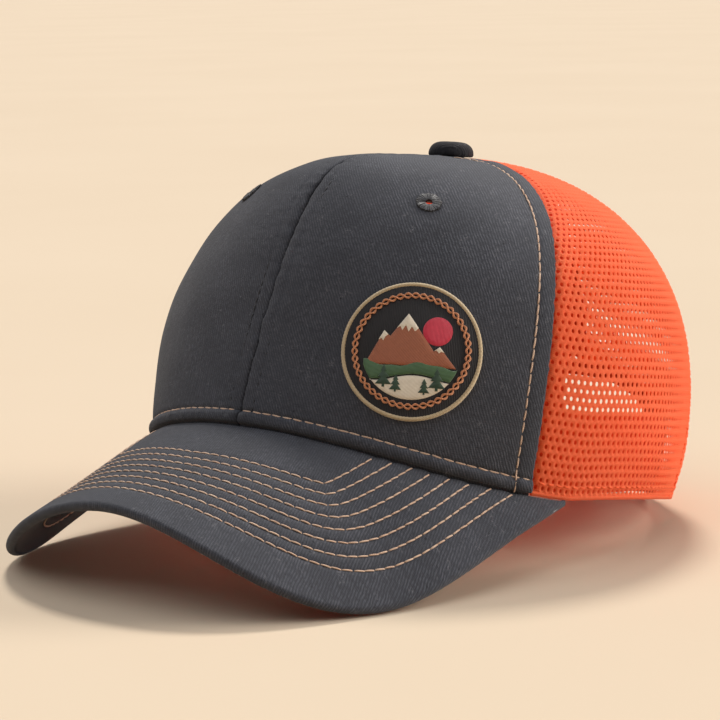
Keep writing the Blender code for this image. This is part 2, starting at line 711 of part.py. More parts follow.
def snap_straps(root, plastic):
    centre = Vector((0, strap_centre_y(), 0))
    flex_radius = max(strap_radius(STRAP_BOTTOM), strap_radius(STRAP_BOTTOM + STRAP_HEIGHT))
    flex = Vector((flex_radius * math.sin(STRAP_FLEX_ANGLE),
                   strap_centre_y() + flex_radius * math.cos(STRAP_FLEX_ANGLE), 0))
    gap_angle = FLEX_GAP / 2 / flex_radius
    margin = STRAP_TIP_MARGIN / flex_radius

    holes_axis = joint_empty("snap_release_axis", flex, root)
    local = Matrix.Translation(-flex)
    holed = strap_body("snap_strap_holes", peg_angles(1)[0] - margin, STRAP_FLEX_ANGLE - gap_angle,
                       0.0, plastic, root)
    for index, angle in enumerate(peg_angles(1)):
        near = strap_ring(angle, HOLE_RADIUS, -1 * MM, HOLE_SIDES)
        far = strap_ring(angle, HOLE_RADIUS, STRAP_THICKNESS + 1 * MM, HOLE_SIDES)
        cut(holed, cutter(f"hole_cutter_{index}", near, far, root))
    rounded_tip(holed, 1, 0.0, root)
    reparent(holed, holes_axis, local)

    strap_body("snap_strap_sewn_tab", STRAP_FLEX_ANGLE + gap_angle, STRAP_TAB_END_ANGLE, 0.0, plastic, root)

    pegs_axis = joint_empty("size_adjust_axis", centre, root)
    inner_depth = STRAP_THICKNESS + GAP + 0.1 * MM
    pegged = strap_body("snap_strap_pegs", peg_angles(-1)[0] + margin, -STRAP_TAIL_ANGLE,
                        inner_depth, plastic, root)
    for index, angle in enumerate(peg_angles(-1)):
        foot = strap_ring(angle, PEG_BASE_RADIUS, inner_depth + STRAP_THICKNESS / 2, PEG_SIDES)
        tip = strap_ring(angle, PEG_TIP_RADIUS, inner_depth - PEG_LENGTH, PEG_SIDES)
        peg = cutter(f"peg_{index}", foot, tip, root)
        modifier = pegged.modifiers.new(peg.name, "BOOLEAN")
        modifier.operation = "UNION"
        modifier.solver = "EXACT"
        modifier.object = peg
    rounded_tip(pegged, -1, inner_depth, root)
    reparent(pegged, pegs_axis, Matrix.Translation(-centre))


def joint_empty(name, place, root):
    empty = bpy.data.objects.new(name, None)
    bpy.context.scene.collection.objects.link(empty)
    empty.parent = root
    empty.location = place
    return empty


def reparent(piece, empty, shift):
    """Hang a piece from its joint's empty without moving it."""
    piece.data.transform(shift)
    piece.parent = empty
    piece.matrix_parent_inverse = Matrix.Identity(4)


# ---------------------------------------------------------------- button and badge

def dome(radius, height, floor):
    """Profile of a shallow dome with a rounded shoulder, from its rim to its top."""
    shoulder = height * BUTTON_SHOULDER_RATIO
    profile = [(radius * BUTTON_FOOT_RATIO, floor), (radius, floor + shoulder)]
    steps = 5
    for step in range(1, steps):
        turn = math.pi / 2 * step / steps
        width = radius * math.cos(turn) ** BUTTON_FLATNESS
        profile.append((width, floor + shoulder + (height - shoulder) * math.sin(turn)))
    profile.append((0.0, floor + height))
    return profile


def hollow_dome(name, radius, height, floor, wall, look, root, centre):
    outer = dome(radius, height, floor)
    inner = dome(radius - wall, height - wall, floor)
    turned(name, outer + inner[::-1], look, root, centre)


def button(root, cloth, metal):
    centre = Vector((0, APEX_Y, CROWN_HEIGHT))
    floor = GAP
    hollow_dome("button_cover", BUTTON_RADIUS, BUTTON_HEIGHT, floor, BUTTON_FABRIC, cloth, root, centre)
    shell_radius = BUTTON_RADIUS - BUTTON_FABRIC - GAP
    shell_height = BUTTON_HEIGHT - BUTTON_FABRIC - GAP
    hollow_dome("button_shell", shell_radius, shell_height, floor, BUTTON_METAL, metal, root, centre)
    head = shell_height - BUTTON_METAL - GAP
    low = -POST_FLANGE_DEPTH
    profile = [(0, low), (POST_FLANGE_RADIUS, low), (POST_FLANGE_RADIUS, low + POST_FLANGE_THICKNESS),
               (POST_RADIUS, low + POST_FLANGE_THICKNESS), (POST_RADIUS, head), (0, head)]
    turned("button_rivet", profile, metal, root, centre)


def badge_ring(radius, depth, sides):
    ring = []
    for step in range(sides):
        angle = 2 * math.pi * step / sides
        spot = surface_spot(BADGE_AT, radius * math.cos(angle), radius * math.sin(angle))
        ring.append(crown_layer(*spot, depth))
    return ring


def badge(root, field, border):
    sides = 32
    field_radius = BADGE_RADIUS - BADGE_BORDER_WIDTH - GAP
    radii = [field_radius * part for part in (0.25, 0.5, 0.75, 1.0)]
    points = []
    for depth in (-GAP - BADGE_THICKNESS, -GAP):
        points.append(crown_layer(*BADGE_AT, depth))
        for radius in radii:
            points += badge_ring(radius, depth, sides)
    half = len(points) // 2
    faces = []
    for base in (0, half):
        for step in range(sides):
            following = (step + 1) % sides
            faces.append([base, base + 1 + step, base + 1 + following])
            for ring in range(len(radii) - 1):
                low = base + 1 + ring * sides
                high = low + sides
                faces.append([low + step, high + step, high + following, low + following])
    rim = 1 + (len(radii) - 1) * sides
    for step in range(sides):
        following = (step + 1) % sides
        faces.append([rim + step, rim + following, half + rim + following, half + rim + step])
    add_object("badge_field", points, faces, field, root)
    radii = (BADGE_RADIUS - BADGE_BORDER_WIDTH, BADGE_RADIUS)
    outer = [badge_ring(radius, -GAP - BADGE_BORDER_THICKNESS, sides) for radius in radii]
    inner = [badge_ring(radius, -GAP, sides) for radius in radii]
    slab("badge_border", outer, inner, border, root, wrap=True)


# ---------------------------------------------------------------- stance

def world_points(tilt):
    """Every solid's points in the cap's frame, turned by a tilt about X."""
    turn = Matrix.Rotation(tilt, 4, "X")
    bpy.context.view_layer.update()
    points = []
    for piece in bpy.context.scene.objects:
        if piece.type == "MESH" and not piece.hide_render:
            points += [turn @ (piece.matrix_world @ vertex.co) for vertex in piece.data.vertices]
    return points


def stand_on_floor(root):
    """Tilt the cap until visor and back hem touch one floor, and centre it over the origin."""
    level = world_points(0.0)
    front = [point for point in level if point.y < -FRONT_LENGTH]
    back = [point for point in level if point.y > 0]
    low = math.radians(-20)
    high = math.radians(20)
    for _ in range(40):
        tilt = (low + high) / 2
        sine = math.sin(tilt)
        cosine = math.cos(tilt)
        front_z = min(point.y * sine + point.z * cosine for point in front)
        back_z = min(point.y * sine + point.z * cosine for point in back)
        if front_z < back_z:
            high = tilt
        else:
            low = tilt
    turned_points = world_points(tilt)
    middle_y = (min(p.y for p in turned_points) + max(p.y for p in turned_points)) / 2
    floor = min(p.z for p in turned_points)
    root.rotation_euler = (tilt, 0, 0)
    root.location = (0, -middle_y, -floor)
    return tilt


def report_places(root, tilt):
    """Print the joint places, the peg pitch and the button top in the stance frame."""
    bpy.context.view_layer.update()
    print("tilt degrees", round(math.degrees(tilt), 3), "root", [round(v, 5) for v in root.location])
    for name in ("snap_release_axis", "size_adjust_axis"):
        empty = bpy.data.objects[name]
        place = empty.matrix_world.translation
        axis = empty.matrix_world.to_3x3() @ Vector((0, 0, 1))
        print(name, [round(v, 6) for v in place], [round(v, 6) for v in axis])
    pitch = math.degrees(PEG_PITCH / strap_radius(STRAP_BOTTOM + STRAP_HEIGHT / 2))
    print("peg pitch degrees", round(pitch, 4))
    top = root.matrix_world @ Vector((0, APEX_Y, CROWN_HEIGHT + BUTTON_HEIGHT))
    print("button top", [round(v, 6) for v in top])


def main():
    for old in list(bpy.data.objects):
        bpy.data.objects.remove(old, do_unlink=True)
    material("cutter", (0.5, 0.5, 0.5), 0.5)
    cloth = material("charcoal_twill", CHARCOAL, 0.85)
    mesh_cloth = material("orange_mesh", ORANGE, 0.6)
    orange = material("orange_cloth", ORANGE, 0.9)
    stiffener = material("buckram", BUCKRAM_WHITE, 0.9)
    board = material("visor_board", BOARD_GREY, 0.6)
    thread = material("charcoal_thread", CHARCOAL, 0.7)
    plastic = material("orange_plastic", ORANGE, 0.4)
    metal = material("steel", STEEL, 0.35, 1.0)
    field = material("badge_field", BADGE_BLACK, 0.8)
    border = material("badge_border", BADGE_TAN, 0.8)

    root = bpy.data.objects.new("cap_stance", None)
    bpy.context.scene.collection.objects.link(root)
    levels = crown_levels(LEVELS)
    front_panels(root, levels, cloth, stiffener)
    side_mesh(root, levels, mesh_cloth)
    back_mesh(root, levels, mesh_cloth)
    seam_tapes(root, levels, cloth, orange)
    sweatband(root, orange)
    opening_binding(root, orange)
    visor(root, cloth, board)
    snap_straps(root, plastic)
    button(root, cloth, metal)
    eyelets(root, thread)
    badge(root, field, border)
    tilt = stand_on_floor(root)
    report_places(root, tilt)


main()
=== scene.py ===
"""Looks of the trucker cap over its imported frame: cloth, knit, quilted visor, thread, badge and strap.

Every surface is worked out in the cap's own frame (front towards -Y, wearer's left towards +X) from
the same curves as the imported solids, and then moved into the stance that the joints give.
"""
import json
import math

import bpy
import numpy as np
from mathutils import Matrix, Vector
from mathutils.geometry import delaunay_2d_cdt


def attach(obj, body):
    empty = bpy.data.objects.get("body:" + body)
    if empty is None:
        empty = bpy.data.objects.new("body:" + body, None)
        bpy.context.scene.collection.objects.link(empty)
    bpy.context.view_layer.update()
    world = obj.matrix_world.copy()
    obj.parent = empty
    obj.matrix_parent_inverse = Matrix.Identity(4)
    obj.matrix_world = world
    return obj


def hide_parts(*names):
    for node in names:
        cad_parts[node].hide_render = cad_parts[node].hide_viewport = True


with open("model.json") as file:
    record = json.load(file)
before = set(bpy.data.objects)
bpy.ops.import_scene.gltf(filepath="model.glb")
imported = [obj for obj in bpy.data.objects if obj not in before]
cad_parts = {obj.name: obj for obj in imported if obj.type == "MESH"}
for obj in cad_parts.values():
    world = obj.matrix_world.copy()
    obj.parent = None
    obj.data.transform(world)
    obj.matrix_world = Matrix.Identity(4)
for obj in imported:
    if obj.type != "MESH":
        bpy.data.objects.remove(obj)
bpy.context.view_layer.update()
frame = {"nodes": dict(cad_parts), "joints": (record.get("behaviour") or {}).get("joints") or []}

MM = 0.001
RIGHT_ANGLE = math.pi / 2

# Crown, hem, visor sheet, strap and places on the crown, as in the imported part.
HALF_WIDTH = 91.25 * MM
FRONT_LENGTH = 99.7 * MM
BACK_LENGTH = 97.8 * MM
CROWN_HEIGHT = 124.2 * MM
APEX_Y = 11.2 * MM
BLUNTNESS = {"front": 0.242, "back": 0.734, "side": 0.983}
LEAN = {"front": 0.218, "back": -0.238, "side": -0.424}
APEX_ROUNDING = 0.12
TOP_PHI = math.acos(0.018)
FRONT_SEAM = (64.2, -24.2, 62.4)
BACK_SEAM = (118.0, 0.0, 22.0)
BACK_SPAN = math.degrees(math.pi - math.radians(BACK_SEAM[0]))
SHEET_RISE = 29.3 * MM
SHEET_SPAN = 90.0 * MM
SHEET_BEND = 38.5 * MM
SHEET_BEND_4 = 13.9 * MM
SHEET_SLOPE = 0.374
SHEET_SLOPE_BEND = 0.321
SHEET_SAG = 37.1 * MM
SHEET_SAG_SPAN = 100.0 * MM
VISOR_CORNER = math.radians(73.6)
VISOR_END = math.radians(71.6)
VISOR_HALF_WIDTH = 88.9 * MM
VISOR_LENGTH = 62.5 * MM
VISOR_ROUNDNESS = 2.69
VISOR_WIDEST_Y = -50.5 * MM
BACK_HEM_Z = -0.8 * MM
OPENING_HALF_ANGLE = 31.5
OPENING_HEIGHT = 45.0 * MM
OPENING_ROUNDNESS = 2.4
STRAP_BOTTOM = 3.8 * MM
STRAP_HEIGHT = 16.0 * MM
STRAP_THICKNESS = 1.1 * MM
STRAP_DEPTH = 2.2 * MM
PEG_COUNT = 7
PEG_ENGAGED = 4
PEG_PITCH = 6.35 * MM
HOLE_RADIUS = 2.3 * MM
FLEX_ANGLE = 25.5
TAB_END_ANGLE = 42
PEGGED_END_ANGLE = 47
TAB_ROW_ANGLES = (34.0, 40.0)
EYELET_AT = (math.radians(37.0), math.radians(56.6))
ROPE_RADIUS = 18.5 * MM
BADGE_AT = (math.radians(33.3), math.radians(20.4))

# Sewing.
BASE_ROW = 4.9 * MM
SIDE_ROW = 6.5 * MM
CENTRE_ROW = 5.2 * MM
VISOR_FIRST_ROW = (12.7 * MM, 3.1 * MM, 0.64)
VISOR_ROW_PITCH = (4.45 * MM, 1.5 * MM)
VISOR_ROWS = 8
VISOR_EDGE = 1.75 * MM
STITCH_PITCH = 4.0 * MM
VISOR_STITCH = 3.7 * MM
KNIT_PITCH = 2.5 * MM
KNIT_ROW = 2.9 * MM
KNIT_HOLE = (0.53 * MM, 0.76 * MM)
KNIT_THICKNESS = 0.7 * MM
KNIT_GLOW = 0.45
KNIT_YARN = 0.62 * MM
KNIT_HEM_ROW = 4.5 * MM
PANEL_MIDDLE = 0.6
CLOTH_HOLE = 2.1 * MM
STIFFENER_HOLE = 2.6 * MM
STIFFENER_FACES = (1.35 * MM, 1.95 * MM)
EYELET_HOLE = 1.25 * MM
BAND_FOOT = 0.6 * MM
BAND_TOP = 29.8 * MM
BAND_ROWS = (4.4 * MM, 26.6 * MM)
OPENING_SEWN = -3.4 * MM
TAPE_TOP = math.radians(79)
WIDE_TAPE = 17 * MM
NARROW_TAPE = 14 * MM
FRONT_TAPE_DEPTH = 2.6 * MM
KNIT_TAPE_DEPTH = 1.4 * MM
FIELD_RADIUS = 21.9 * MM
MERROW_RADIUS = 22.45 * MM
FLOSS_BASE = 1.1 * MM
FLOSS_HEIGHT = 0.45 * MM
TIP_RADIUS = 5.0
CUT_RADIUS = 0.4


# ---------------------------------------------------------------- surfaces

def blunt(ratio, exponent):
    soft = (ratio * ratio + APEX_ROUNDING ** 2) / (1 + APEX_ROUNDING ** 2)
    return ratio * soft ** ((exponent - 1) / 2)


def hem_xy(theta):
    length = np.where(np.cos(theta) > 0, FRONT_LENGTH, BACK_LENGTH)
    return HALF_WIDTH * np.sin(theta), -length * np.cos(theta)


def sheet_z(x, y):
    across = x / SHEET_SPAN
    behind = y + FRONT_LENGTH
    slope = SHEET_SLOPE + SHEET_SLOPE_BEND * across ** 2
    sag = SHEET_SAG * np.maximum(0.0, behind / SHEET_SAG_SPAN) ** 2
    return SHEET_RISE - SHEET_BEND * across ** 2 - SHEET_BEND_4 * across ** 4 + slope * behind - sag


def hem_z(theta):
    angle = np.abs(theta)
    corner_z = sheet_z(*hem_xy(np.float64(VISOR_CORNER)))
    ratio = np.clip((angle - VISOR_CORNER) / (math.pi - VISOR_CORNER), 0, 1)
    behind = BACK_HEM_Z + (corner_z - BACK_HEM_Z) * (1 + np.cos(math.pi * ratio)) / 2
    return np.where(angle < VISOR_CORNER, sheet_z(*hem_xy(angle)), behind)


def crown(theta, phi):
    """Points of the crown's outer surface; phi runs from the hem (0) to the apex."""
    theta, phi = np.broadcast_arrays(np.asarray(theta, float), np.asarray(phi, float))
    ratio = np.maximum(np.cos(phi), 0.0)
    fade = 1 - np.sin(phi)
    share = {side: (1 - LEAN[side]) * blunt(ratio, BLUNTNESS[side]) + LEAN[side] * fade for side in LEAN}
    middle_y = APEX_Y * (1 - blunt(ratio, BLUNTNESS["side"]))
    front_y = APEX_Y - (FRONT_LENGTH + APEX_Y) * share["front"]
    back_y = APEX_Y + (BACK_LENGTH - APEX_Y) * share["back"]
    reach = np.where(np.cos(theta) > 0, middle_y - front_y, back_y - middle_y)
    base = hem_z(theta)
    height = base + (CROWN_HEIGHT - base) * np.sin(phi)
    across = HALF_WIDTH * np.sin(theta) * share["side"]
    return np.stack([across, middle_y - reach * np.cos(theta), height], -1)


def unit(vectors):
    return vectors / np.maximum(np.linalg.norm(vectors, axis=-1, keepdims=True), 1e-12)


def crown_normal(theta, phi):
    step = 1e-3
    low = np.maximum(phi - step, 0.0)
    high = np.minimum(phi + step, math.radians(89.5))
    along = crown(theta + step, phi) - crown(theta - step, phi)
    return unit(np.cross(along, crown(theta, high) - crown(theta, low)))


def crown_layer(theta, phi, depth):
    """Crown points moved inwards by a depth; a negative depth is outside the crown."""
    return crown(theta, phi) - crown_normal(theta, phi) * np.asarray(depth)[..., None]


def seam_angle(seam, phi):
    ratio = phi / RIGHT_ANGLE
    return np.radians(seam[0] + seam[1] * ratio + seam[2] * ratio * ratio)


def panel_angle(station, phi):
    """Plan angle of a station: 0 front centre, 1 front seam, 2 back seam, 3 back centre."""
    front = seam_angle(FRONT_SEAM, phi)
    back = seam_angle(BACK_SEAM, phi)
    middle = front + (back - front) * (station - 1)
    rear = back + (math.pi - back) * (station - 2)
    return np.where(station <= 1, front * station, np.where(station <= 2, middle, rear))


def phi_at_height(theta, height):
    return np.arcsin(np.clip(height / (CROWN_HEIGHT - hem_z(theta)), 0, 1))


def full_turn(count):
    """Evenly spaced angles round a circle."""
    return np.arange(count) * 2 * math.pi / count


def travel(points):
    """Distance along each row of points, from the row's first point."""
    steps = np.linalg.norm(np.diff(points, axis=-2), axis=-1)
    start = np.zeros(steps.shape[:-1] + (1,))
    return np.concatenate([start, np.cumsum(steps, axis=-1)], axis=-1)


def spot(centre, right, up):
    """Surface angles of points that lie right and up of a centre, in its tangent plane."""
    right, up = np.asarray(right, float), np.asarray(up, float)
    origin = crown(*centre)
    normal = crown_normal(*map(np.float64, centre))
    right_axis = unit(np.cross([0, 0, 1], normal))
    up_axis = np.cross(normal, right_axis)
    theta, phi = np.full(right.shape, centre[0]), np.full(right.shape, centre[1])
    step = 1e-4
    for _ in range(6):
        here = crown(theta, phi) - origin
        along = (crown(theta + step, phi) - origin - here) / step
        rise = (crown(theta, phi + step) - origin - here) / step
        a, b = along @ right_axis, rise @ right_axis
        c, d = along @ up_axis, rise @ up_axis
        miss_right, miss_up = right - here @ right_axis, up - here @ up_axis
        theta = theta + (d * miss_right - b * miss_up) / (a * d - b * c)
        phi = phi + (a * miss_up - c * miss_right) / (a * d - b * c)
    return theta, phi


def sheet_normal(x, y):
    step = 0.2 * MM
    slope_x = (sheet_z(x + step, y) - sheet_z(x - step, y)) / (2 * step)
    slope_y = (sheet_z(x, y + step) - sheet_z(x, y - step)) / (2 * step)
    return unit(np.stack([-slope_x, -slope_y, np.ones_like(slope_x)], -1))


def sheet_layer(x, y, depth):
    place = np.stack([x, y, sheet_z(x, y)], -1)
    return place - sheet_normal(x, y) * np.asarray(depth)[..., None]


def ripple(u, v, low, high, seed):
    """Smooth, seeded, uneven waves of about unit height, with wavelengths from low to high."""
    chance = np.random.RandomState(seed)
    total = 0
    for _ in range(7):
        turn, start = chance.uniform(0, 2 * math.pi, 2)
        length = chance.uniform(low, high)
        total = total + np.sin(2 * math.pi * (u * math.cos(turn) + v * math.sin(turn)) / length + start)
    return total / 3.5


def rolled(distance, radius, drop):
    """Depth of a cloth edge that rolls over towards a seam."""
    inside = np.clip((radius - distance) / radius, 0, 1)
    return drop * (1 - np.sqrt(1 - inside ** 2))


def groove(distance, width):
    return np.exp(-(distance / width) ** 2)


# ---------------------------------------------------------------- stance

def find_stance():
    """Rotation and shift from the cap's frame to the row frame, from the size_adjust joint."""
    joint = next(j for j in frame["joints"] if j["name"] == "size_adjust")
    axis = np.array(joint["axis"], float)
    cosine, sine = -axis[2], axis[1]
    turn = np.array([[1, 0, 0], [0, cosine, -sine], [0, sine, cosine]])
    centre = np.array([0, STRAP_CENTRE_Y, 0])
    return turn, np.array(joint["pos_m"], float) - turn @ centre


STRAP_CENTRE_Y = BACK_LENGTH - HALF_WIDTH ** 2 / BACK_LENGTH
TURN, SHIFT = find_stance()


# ---------------------------------------------------------------- pieces

def cells(rows, columns, wrap=False, keep=None):
    """Corner numbers of a grid's cells."""
    spans = columns if wrap else columns - 1
    row, column = np.meshgrid(np.arange(rows - 1), np.arange(spans), indexing="ij")
    following = (column + 1) % columns
    quads = np.stack([row * columns + column, row * columns + following,
                      (row + 1) * columns + following, (row + 1) * columns + column], -1)
    return quads[keep] if keep is not None else quads.reshape(-1, 4)


def walls(faces, offset):
    """Quads from the open edges of some faces to the points that lie an offset further on."""
    start, end = faces.ravel(), np.roll(faces, -1, axis=1).ravel()
    big = max(start.max(), end.max()) + 1
    open_edge = ~np.isin(start * big + end, end * big + start)
    start, end = start[open_edge], end[open_edge]
    return np.stack([end, start, start + offset, end + offset], -1)


def slab(outer, inner, wrap=False, keep=None):
    """Points and faces of the closed solid between two equal grids."""
    rows, columns = outer.shape[:2]
    top = cells(rows, columns, wrap, keep)
    count = rows * columns
    points = np.concatenate([outer.reshape(-1, 3), inner.reshape(-1, 3)])
    return points, [top, top[:, ::-1] + count, walls(top, count)]


def tube(rings):
    """Closed tube through rings of points, shaped (rings, sides, 3)."""
    count, sides = rings.shape[:2]
    side_faces = cells(count, sides, wrap=True)
    ends = [np.arange(sides)[None, ::-1], np.arange(sides)[None] + (count - 1) * sides]
    return rings.reshape(-1, 3), [side_faces, *ends]


def enclosed(points, faces):
    """Volume inside closed faces, negative where they face inwards."""
    places = points - points.mean(0)
    volume = 0.0
    for face in faces:
        first = places[face[:, 0]]
        for k in range(1, face.shape[1] - 1):
            volume += np.einsum("ij,ij->", first, np.cross(places[face[:, k]], places[face[:, k + 1]])) / 6
    return volume


def put(name, data):
    """A new object in the scene."""
    made = bpy.data.objects.new(name, data)
    bpy.context.scene.collection.objects.link(made)
    return made


def make_piece(name, points, faces, look, slot, body="cap", uv=None, mirror=False, replaces=(), sharp=50):
    """One mesh object in the row frame, riding on its body, with its faces turned outwards."""
    points = np.array(points, float)
    if mirror:
        points[:, 0] *= -1
    if enclosed(points, faces) < 0:
        faces = [face[:, ::-1] for face in faces]
    used, packed = np.unique(np.concatenate([face.ravel() for face in faces]), return_inverse=True)
    points = points[used] @ TURN.T + SHIFT
    widths = np.concatenate([np.full(len(face), face.shape[1]) for face in faces])
    mesh = bpy.data.meshes.new(name)
    mesh.vertices.add(len(points))
    mesh.vertices.foreach_set("co", points.astype(np.float32).ravel())
    mesh.loops.add(len(packed))
    mesh.loops.foreach_set("vertex_index", packed.astype(np.int32))
    mesh.polygons.add(len(widths))
    mesh.polygons.foreach_set("loop_start", (np.cumsum(widths) - widths).astype(np.int32))
    mesh.update(calc_edges=True)
    layer = mesh.uv_layers.new(name="weave")
    flat = np.zeros((len(points), 2)) if uv is None else np.asarray(uv, float).reshape(-1, 2)[used]
    layer.data.foreach_set("uv", flat[packed].astype(np.float32).ravel())
    mesh.shade_smooth()
    mesh.set_sharp_from_angle(angle=math.radians(sharp))
    mesh.materials.append(look)
    made = put(name, mesh)
    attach(made, body)
    if replaces:
        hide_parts(*replaces)
    return made


def both(uv):
    """The same flat coordinates for a slab's two sides."""
    flat = np.asarray(uv).reshape(-1, 2)
    return np.concatenate([flat, flat])


def slab_piece(name, outer, inner, look, slot, flat, wrap=False, keep=None, **more):
    """The closed solid between two equal grids as one piece, with the same flat coordinates on both sides."""
    points, faces = slab(outer, inner, wrap, keep)
    return make_piece(name, points, faces, look, slot, uv=both(flat), **more)


def area_of(grid):
    """Area of a grid of places."""
    down, across = np.diff(grid, axis=0)[:, :-1], np.diff(grid, axis=1)[:-1]
    return float(np.linalg.norm(np.cross(down, across), axis=-1).sum())


def cut_sheet(grid):
    """Width, length and area of the cloth that a grid of places covers; the result is not kept."""
    width = float(np.linalg.norm(np.diff(grid, axis=1), axis=-1).sum(1).max())
    length = float(np.linalg.norm(np.diff(grid, axis=0), axis=-1).sum(0).max())
    min(area_of(grid), width * length)


def strip_sheet(grid):
    """Width of a strip of tape from the area and length of its grid; the result is not kept."""
    length = float(np.linalg.norm(np.diff(grid, axis=0), axis=-1).sum(0).max())
    area_of(grid) / length


def crescent_sheet(grid):
    """Size of the crescent that a grid on the bent visor opens out to; the result is not kept."""
    rows = np.linalg.norm(np.diff(grid, axis=1), axis=-1).sum(1)
    rim, inner, middle = grid[np.argmax(rows)], grid[np.argmin(rows)], grid[:, grid.shape[1] // 2]
    ends = sorted((np.argmin(rim[:, 0]), np.argmax(rim[:, 0])))
    width = np.linalg.norm(np.diff(rim[ends[0]:ends[1] + 1, ::2], axis=0), axis=-1).sum()
    length = travel(middle)[-1] + inner[0, 1] - inner[len(inner) // 2, 1]
    area_of(grid)


# ---------------------------------------------------------------- materials

def srgb(*levels):
    """Scene colour from red, green and blue levels of 0 to 255."""
    return [((c / 255 + 0.055) / 1.055) ** 2.4 if c > 10 else c / 255 / 12.92 for c in levels] + [1.0]


class Look:
    """Small helper that adds nodes to one material."""

    def __init__(self, name, roughness=0.8, sheen=0.0, metallic=0.0, specular=0.3, coat=0.0):
        self.material = bpy.data.materials.new(name)
        self.material.use_nodes = True
        self.tree = self.material.node_tree
        self.shader = self.tree.nodes["Principled BSDF"]
        values = {"Roughness": roughness, "Sheen Weight": sheen, "Sheen Roughness": 0.5, "Metallic": metallic,
                  "Specular IOR Level": specular, "Coat Weight": coat}
        for socket, value in values.items():
            self.feed(self.shader.inputs[socket], value)

    def feed(self, socket, value):
        """Link a socket to another node's output, or set it to a number or to an sRGB colour."""
        if isinstance(value, bpy.types.NodeSocket):
            self.tree.links.new(value, socket)
        else:
            socket.default_value = srgb(*value) if isinstance(value, tuple) else value

    def add(self, kind, out=0, settings=None, **inputs):
        node = self.tree.nodes.new("ShaderNode" + kind)
        for key, value in (settings or {}).items():
            setattr(node, key, value)
        for key, value in inputs.items():
            self.feed(node.inputs[int(key[1:]) if key[1:].isdigit() else key], value)
        return node.outputs[out]

    def sum(self, kind, first, second=0.0, third=0.0, clamp=False):
        settings = {"operation": kind, "use_clamp": clamp}
        return self.add("Math", settings=settings, i0=first, i1=second, i2=third)

    def plus(self, first, second, clamp=False):
        return self.sum("ADD", first, second, clamp=clamp)

    def times(self, first, second):
        return self.sum("MULTIPLY", first, second)

    def flat(self):
        """Coordinates along the cloth, in metres."""
        return self.add("UVMap", settings={"uv_map": "weave"})

    def solid(self):
        return self.add("TexCoord", out=3)

    def noise(self, place, scale, detail=2.0, rough=0.5, out=0):
        return self.add("TexNoise", out=out, Vector=place, Scale=scale, Detail=detail, Roughness=rough)

    def wave(self, place, pitch, degrees, wobble=0.0):
        """Smooth ridges, 0 to 1, across a direction of the flat coordinates."""
        turned = self.add("VectorRotate", settings={"rotation_type": "Z_AXIS"}, Vector=place,
                          Angle=math.radians(degrees))
        along = self.add("SeparateXYZ", Vector=turned)
        if wobble:
            shake = self.times(self.noise(place, 260.0, 1.0), wobble)
            along = self.plus(along, shake)
        cycles = self.times(along, 2 * math.pi / pitch)
        return self.sum("MULTIPLY_ADD", self.sum("SINE", cycles), 0.5, 0.5)

    def mix(self, share, first, second):
        return self.add("Mix", out=2, settings={"data_type": "RGBA"}, i0=share, i6=first, i7=second)

    def ramp(self, value, low, high):
        return self.add("MapRange", i0=value, i1=low, i2=high)

    def glow(self, share, tint):
        """Let a share of the light behind thin cloth come through it."""
        output = next(node for node in self.tree.nodes if node.type == "OUTPUT_MATERIAL")
        through = self.add("BsdfTranslucent", Color=tint)
        both_ways = self.add("MixShader", i0=share, i1=self.shader.outputs[0], i2=through)
        self.feed(output.inputs["Surface"], both_ways)

    def finish(self, colour, height=None, distance=0.1 * MM, strength=0.6, roughness=None):
        values = {"Base Color": colour, "Roughness": roughness}
        if height is not None:
            values["Normal"] = self.add("Bump", Strength=strength, Distance=distance, Height=height)
        for name, value in values.items():
            if value is not None:
                self.feed(self.shader.inputs[name], value)
        return self.material


def twill_look(name, dark, light, pitch=0.75 * MM, degrees=58, contrast=0.5, sheen=0.25, bump=0.16 * MM):
    """Cotton twill: slanted ribs broken by the crossing yarns, brushed nap and curled lint, with painted
    shade in the rib troughs, painted highlight on the crests and painted shade in small dark pits.
    """
    look = Look(name, roughness=0.9, sheen=sheen, specular=0.12)
    place = look.flat()
    ribs = look.wave(place, pitch, degrees, 0.0008)
    broken = look.ramp(look.noise(place, 620.0, 2.0, 0.6), 0.38, 0.6)
    worn = look.ramp(look.noise(place, 75.0, 2.0, 0.6), 0.35, 0.6)
    yarns = look.wave(place, pitch * 0.62, degrees - 78, 0.0008)
    nap = look.noise(place, 1900.0, 3.0, 0.7)
    cloud = look.noise(place, 45.0, 3.0, 0.55)
    worn = look.sum("MULTIPLY_ADD", worn, 0.6, 0.4)
    strong = look.sum("MULTIPLY_ADD", look.times(broken, worn), 0.8, 0.2)
    height = look.times(ribs, strong)
    height = look.plus(height, look.times(yarns, 0.2))
    height = look.plus(height, look.times(nap, 1.0))
    # Painted shade and highlight: the colour follows the relief height, darker in the troughs and lighter on
    # the crests; the cloud adds random tone.
    shade = look.times(look.sum("SUBTRACT", height, 0.78), contrast)
    shade = look.plus(shade, look.times(look.sum("SUBTRACT", cloud, 0.5), 0.35))
    shade = look.plus(shade, 0.5, clamp=True)
    colour = look.mix(shade, dark, light)
    curl = look.sum("ABSOLUTE", look.sum("SUBTRACT", look.noise(place, 330.0, 2.0, 0.6), 0.5))
    spare = look.ramp(look.noise(place, 240.0, 2.0), 0.56, 0.66)
    lint = look.times(look.ramp(curl, 0.014, 0.0), spare)
    colour = look.mix(look.times(lint, 0.45), colour, (128, 126, 130))
    # Painted shade: small near-black spots stand for the shade in tiny pits of the weave.
    pit_shade = look.ramp(look.noise(place, 760.0, 2.0), 0.66, 0.74)
    colour = look.mix(look.times(pit_shade, 0.6), colour, (22, 21, 23))
    return look.finish(colour, height, bump, 0.8)


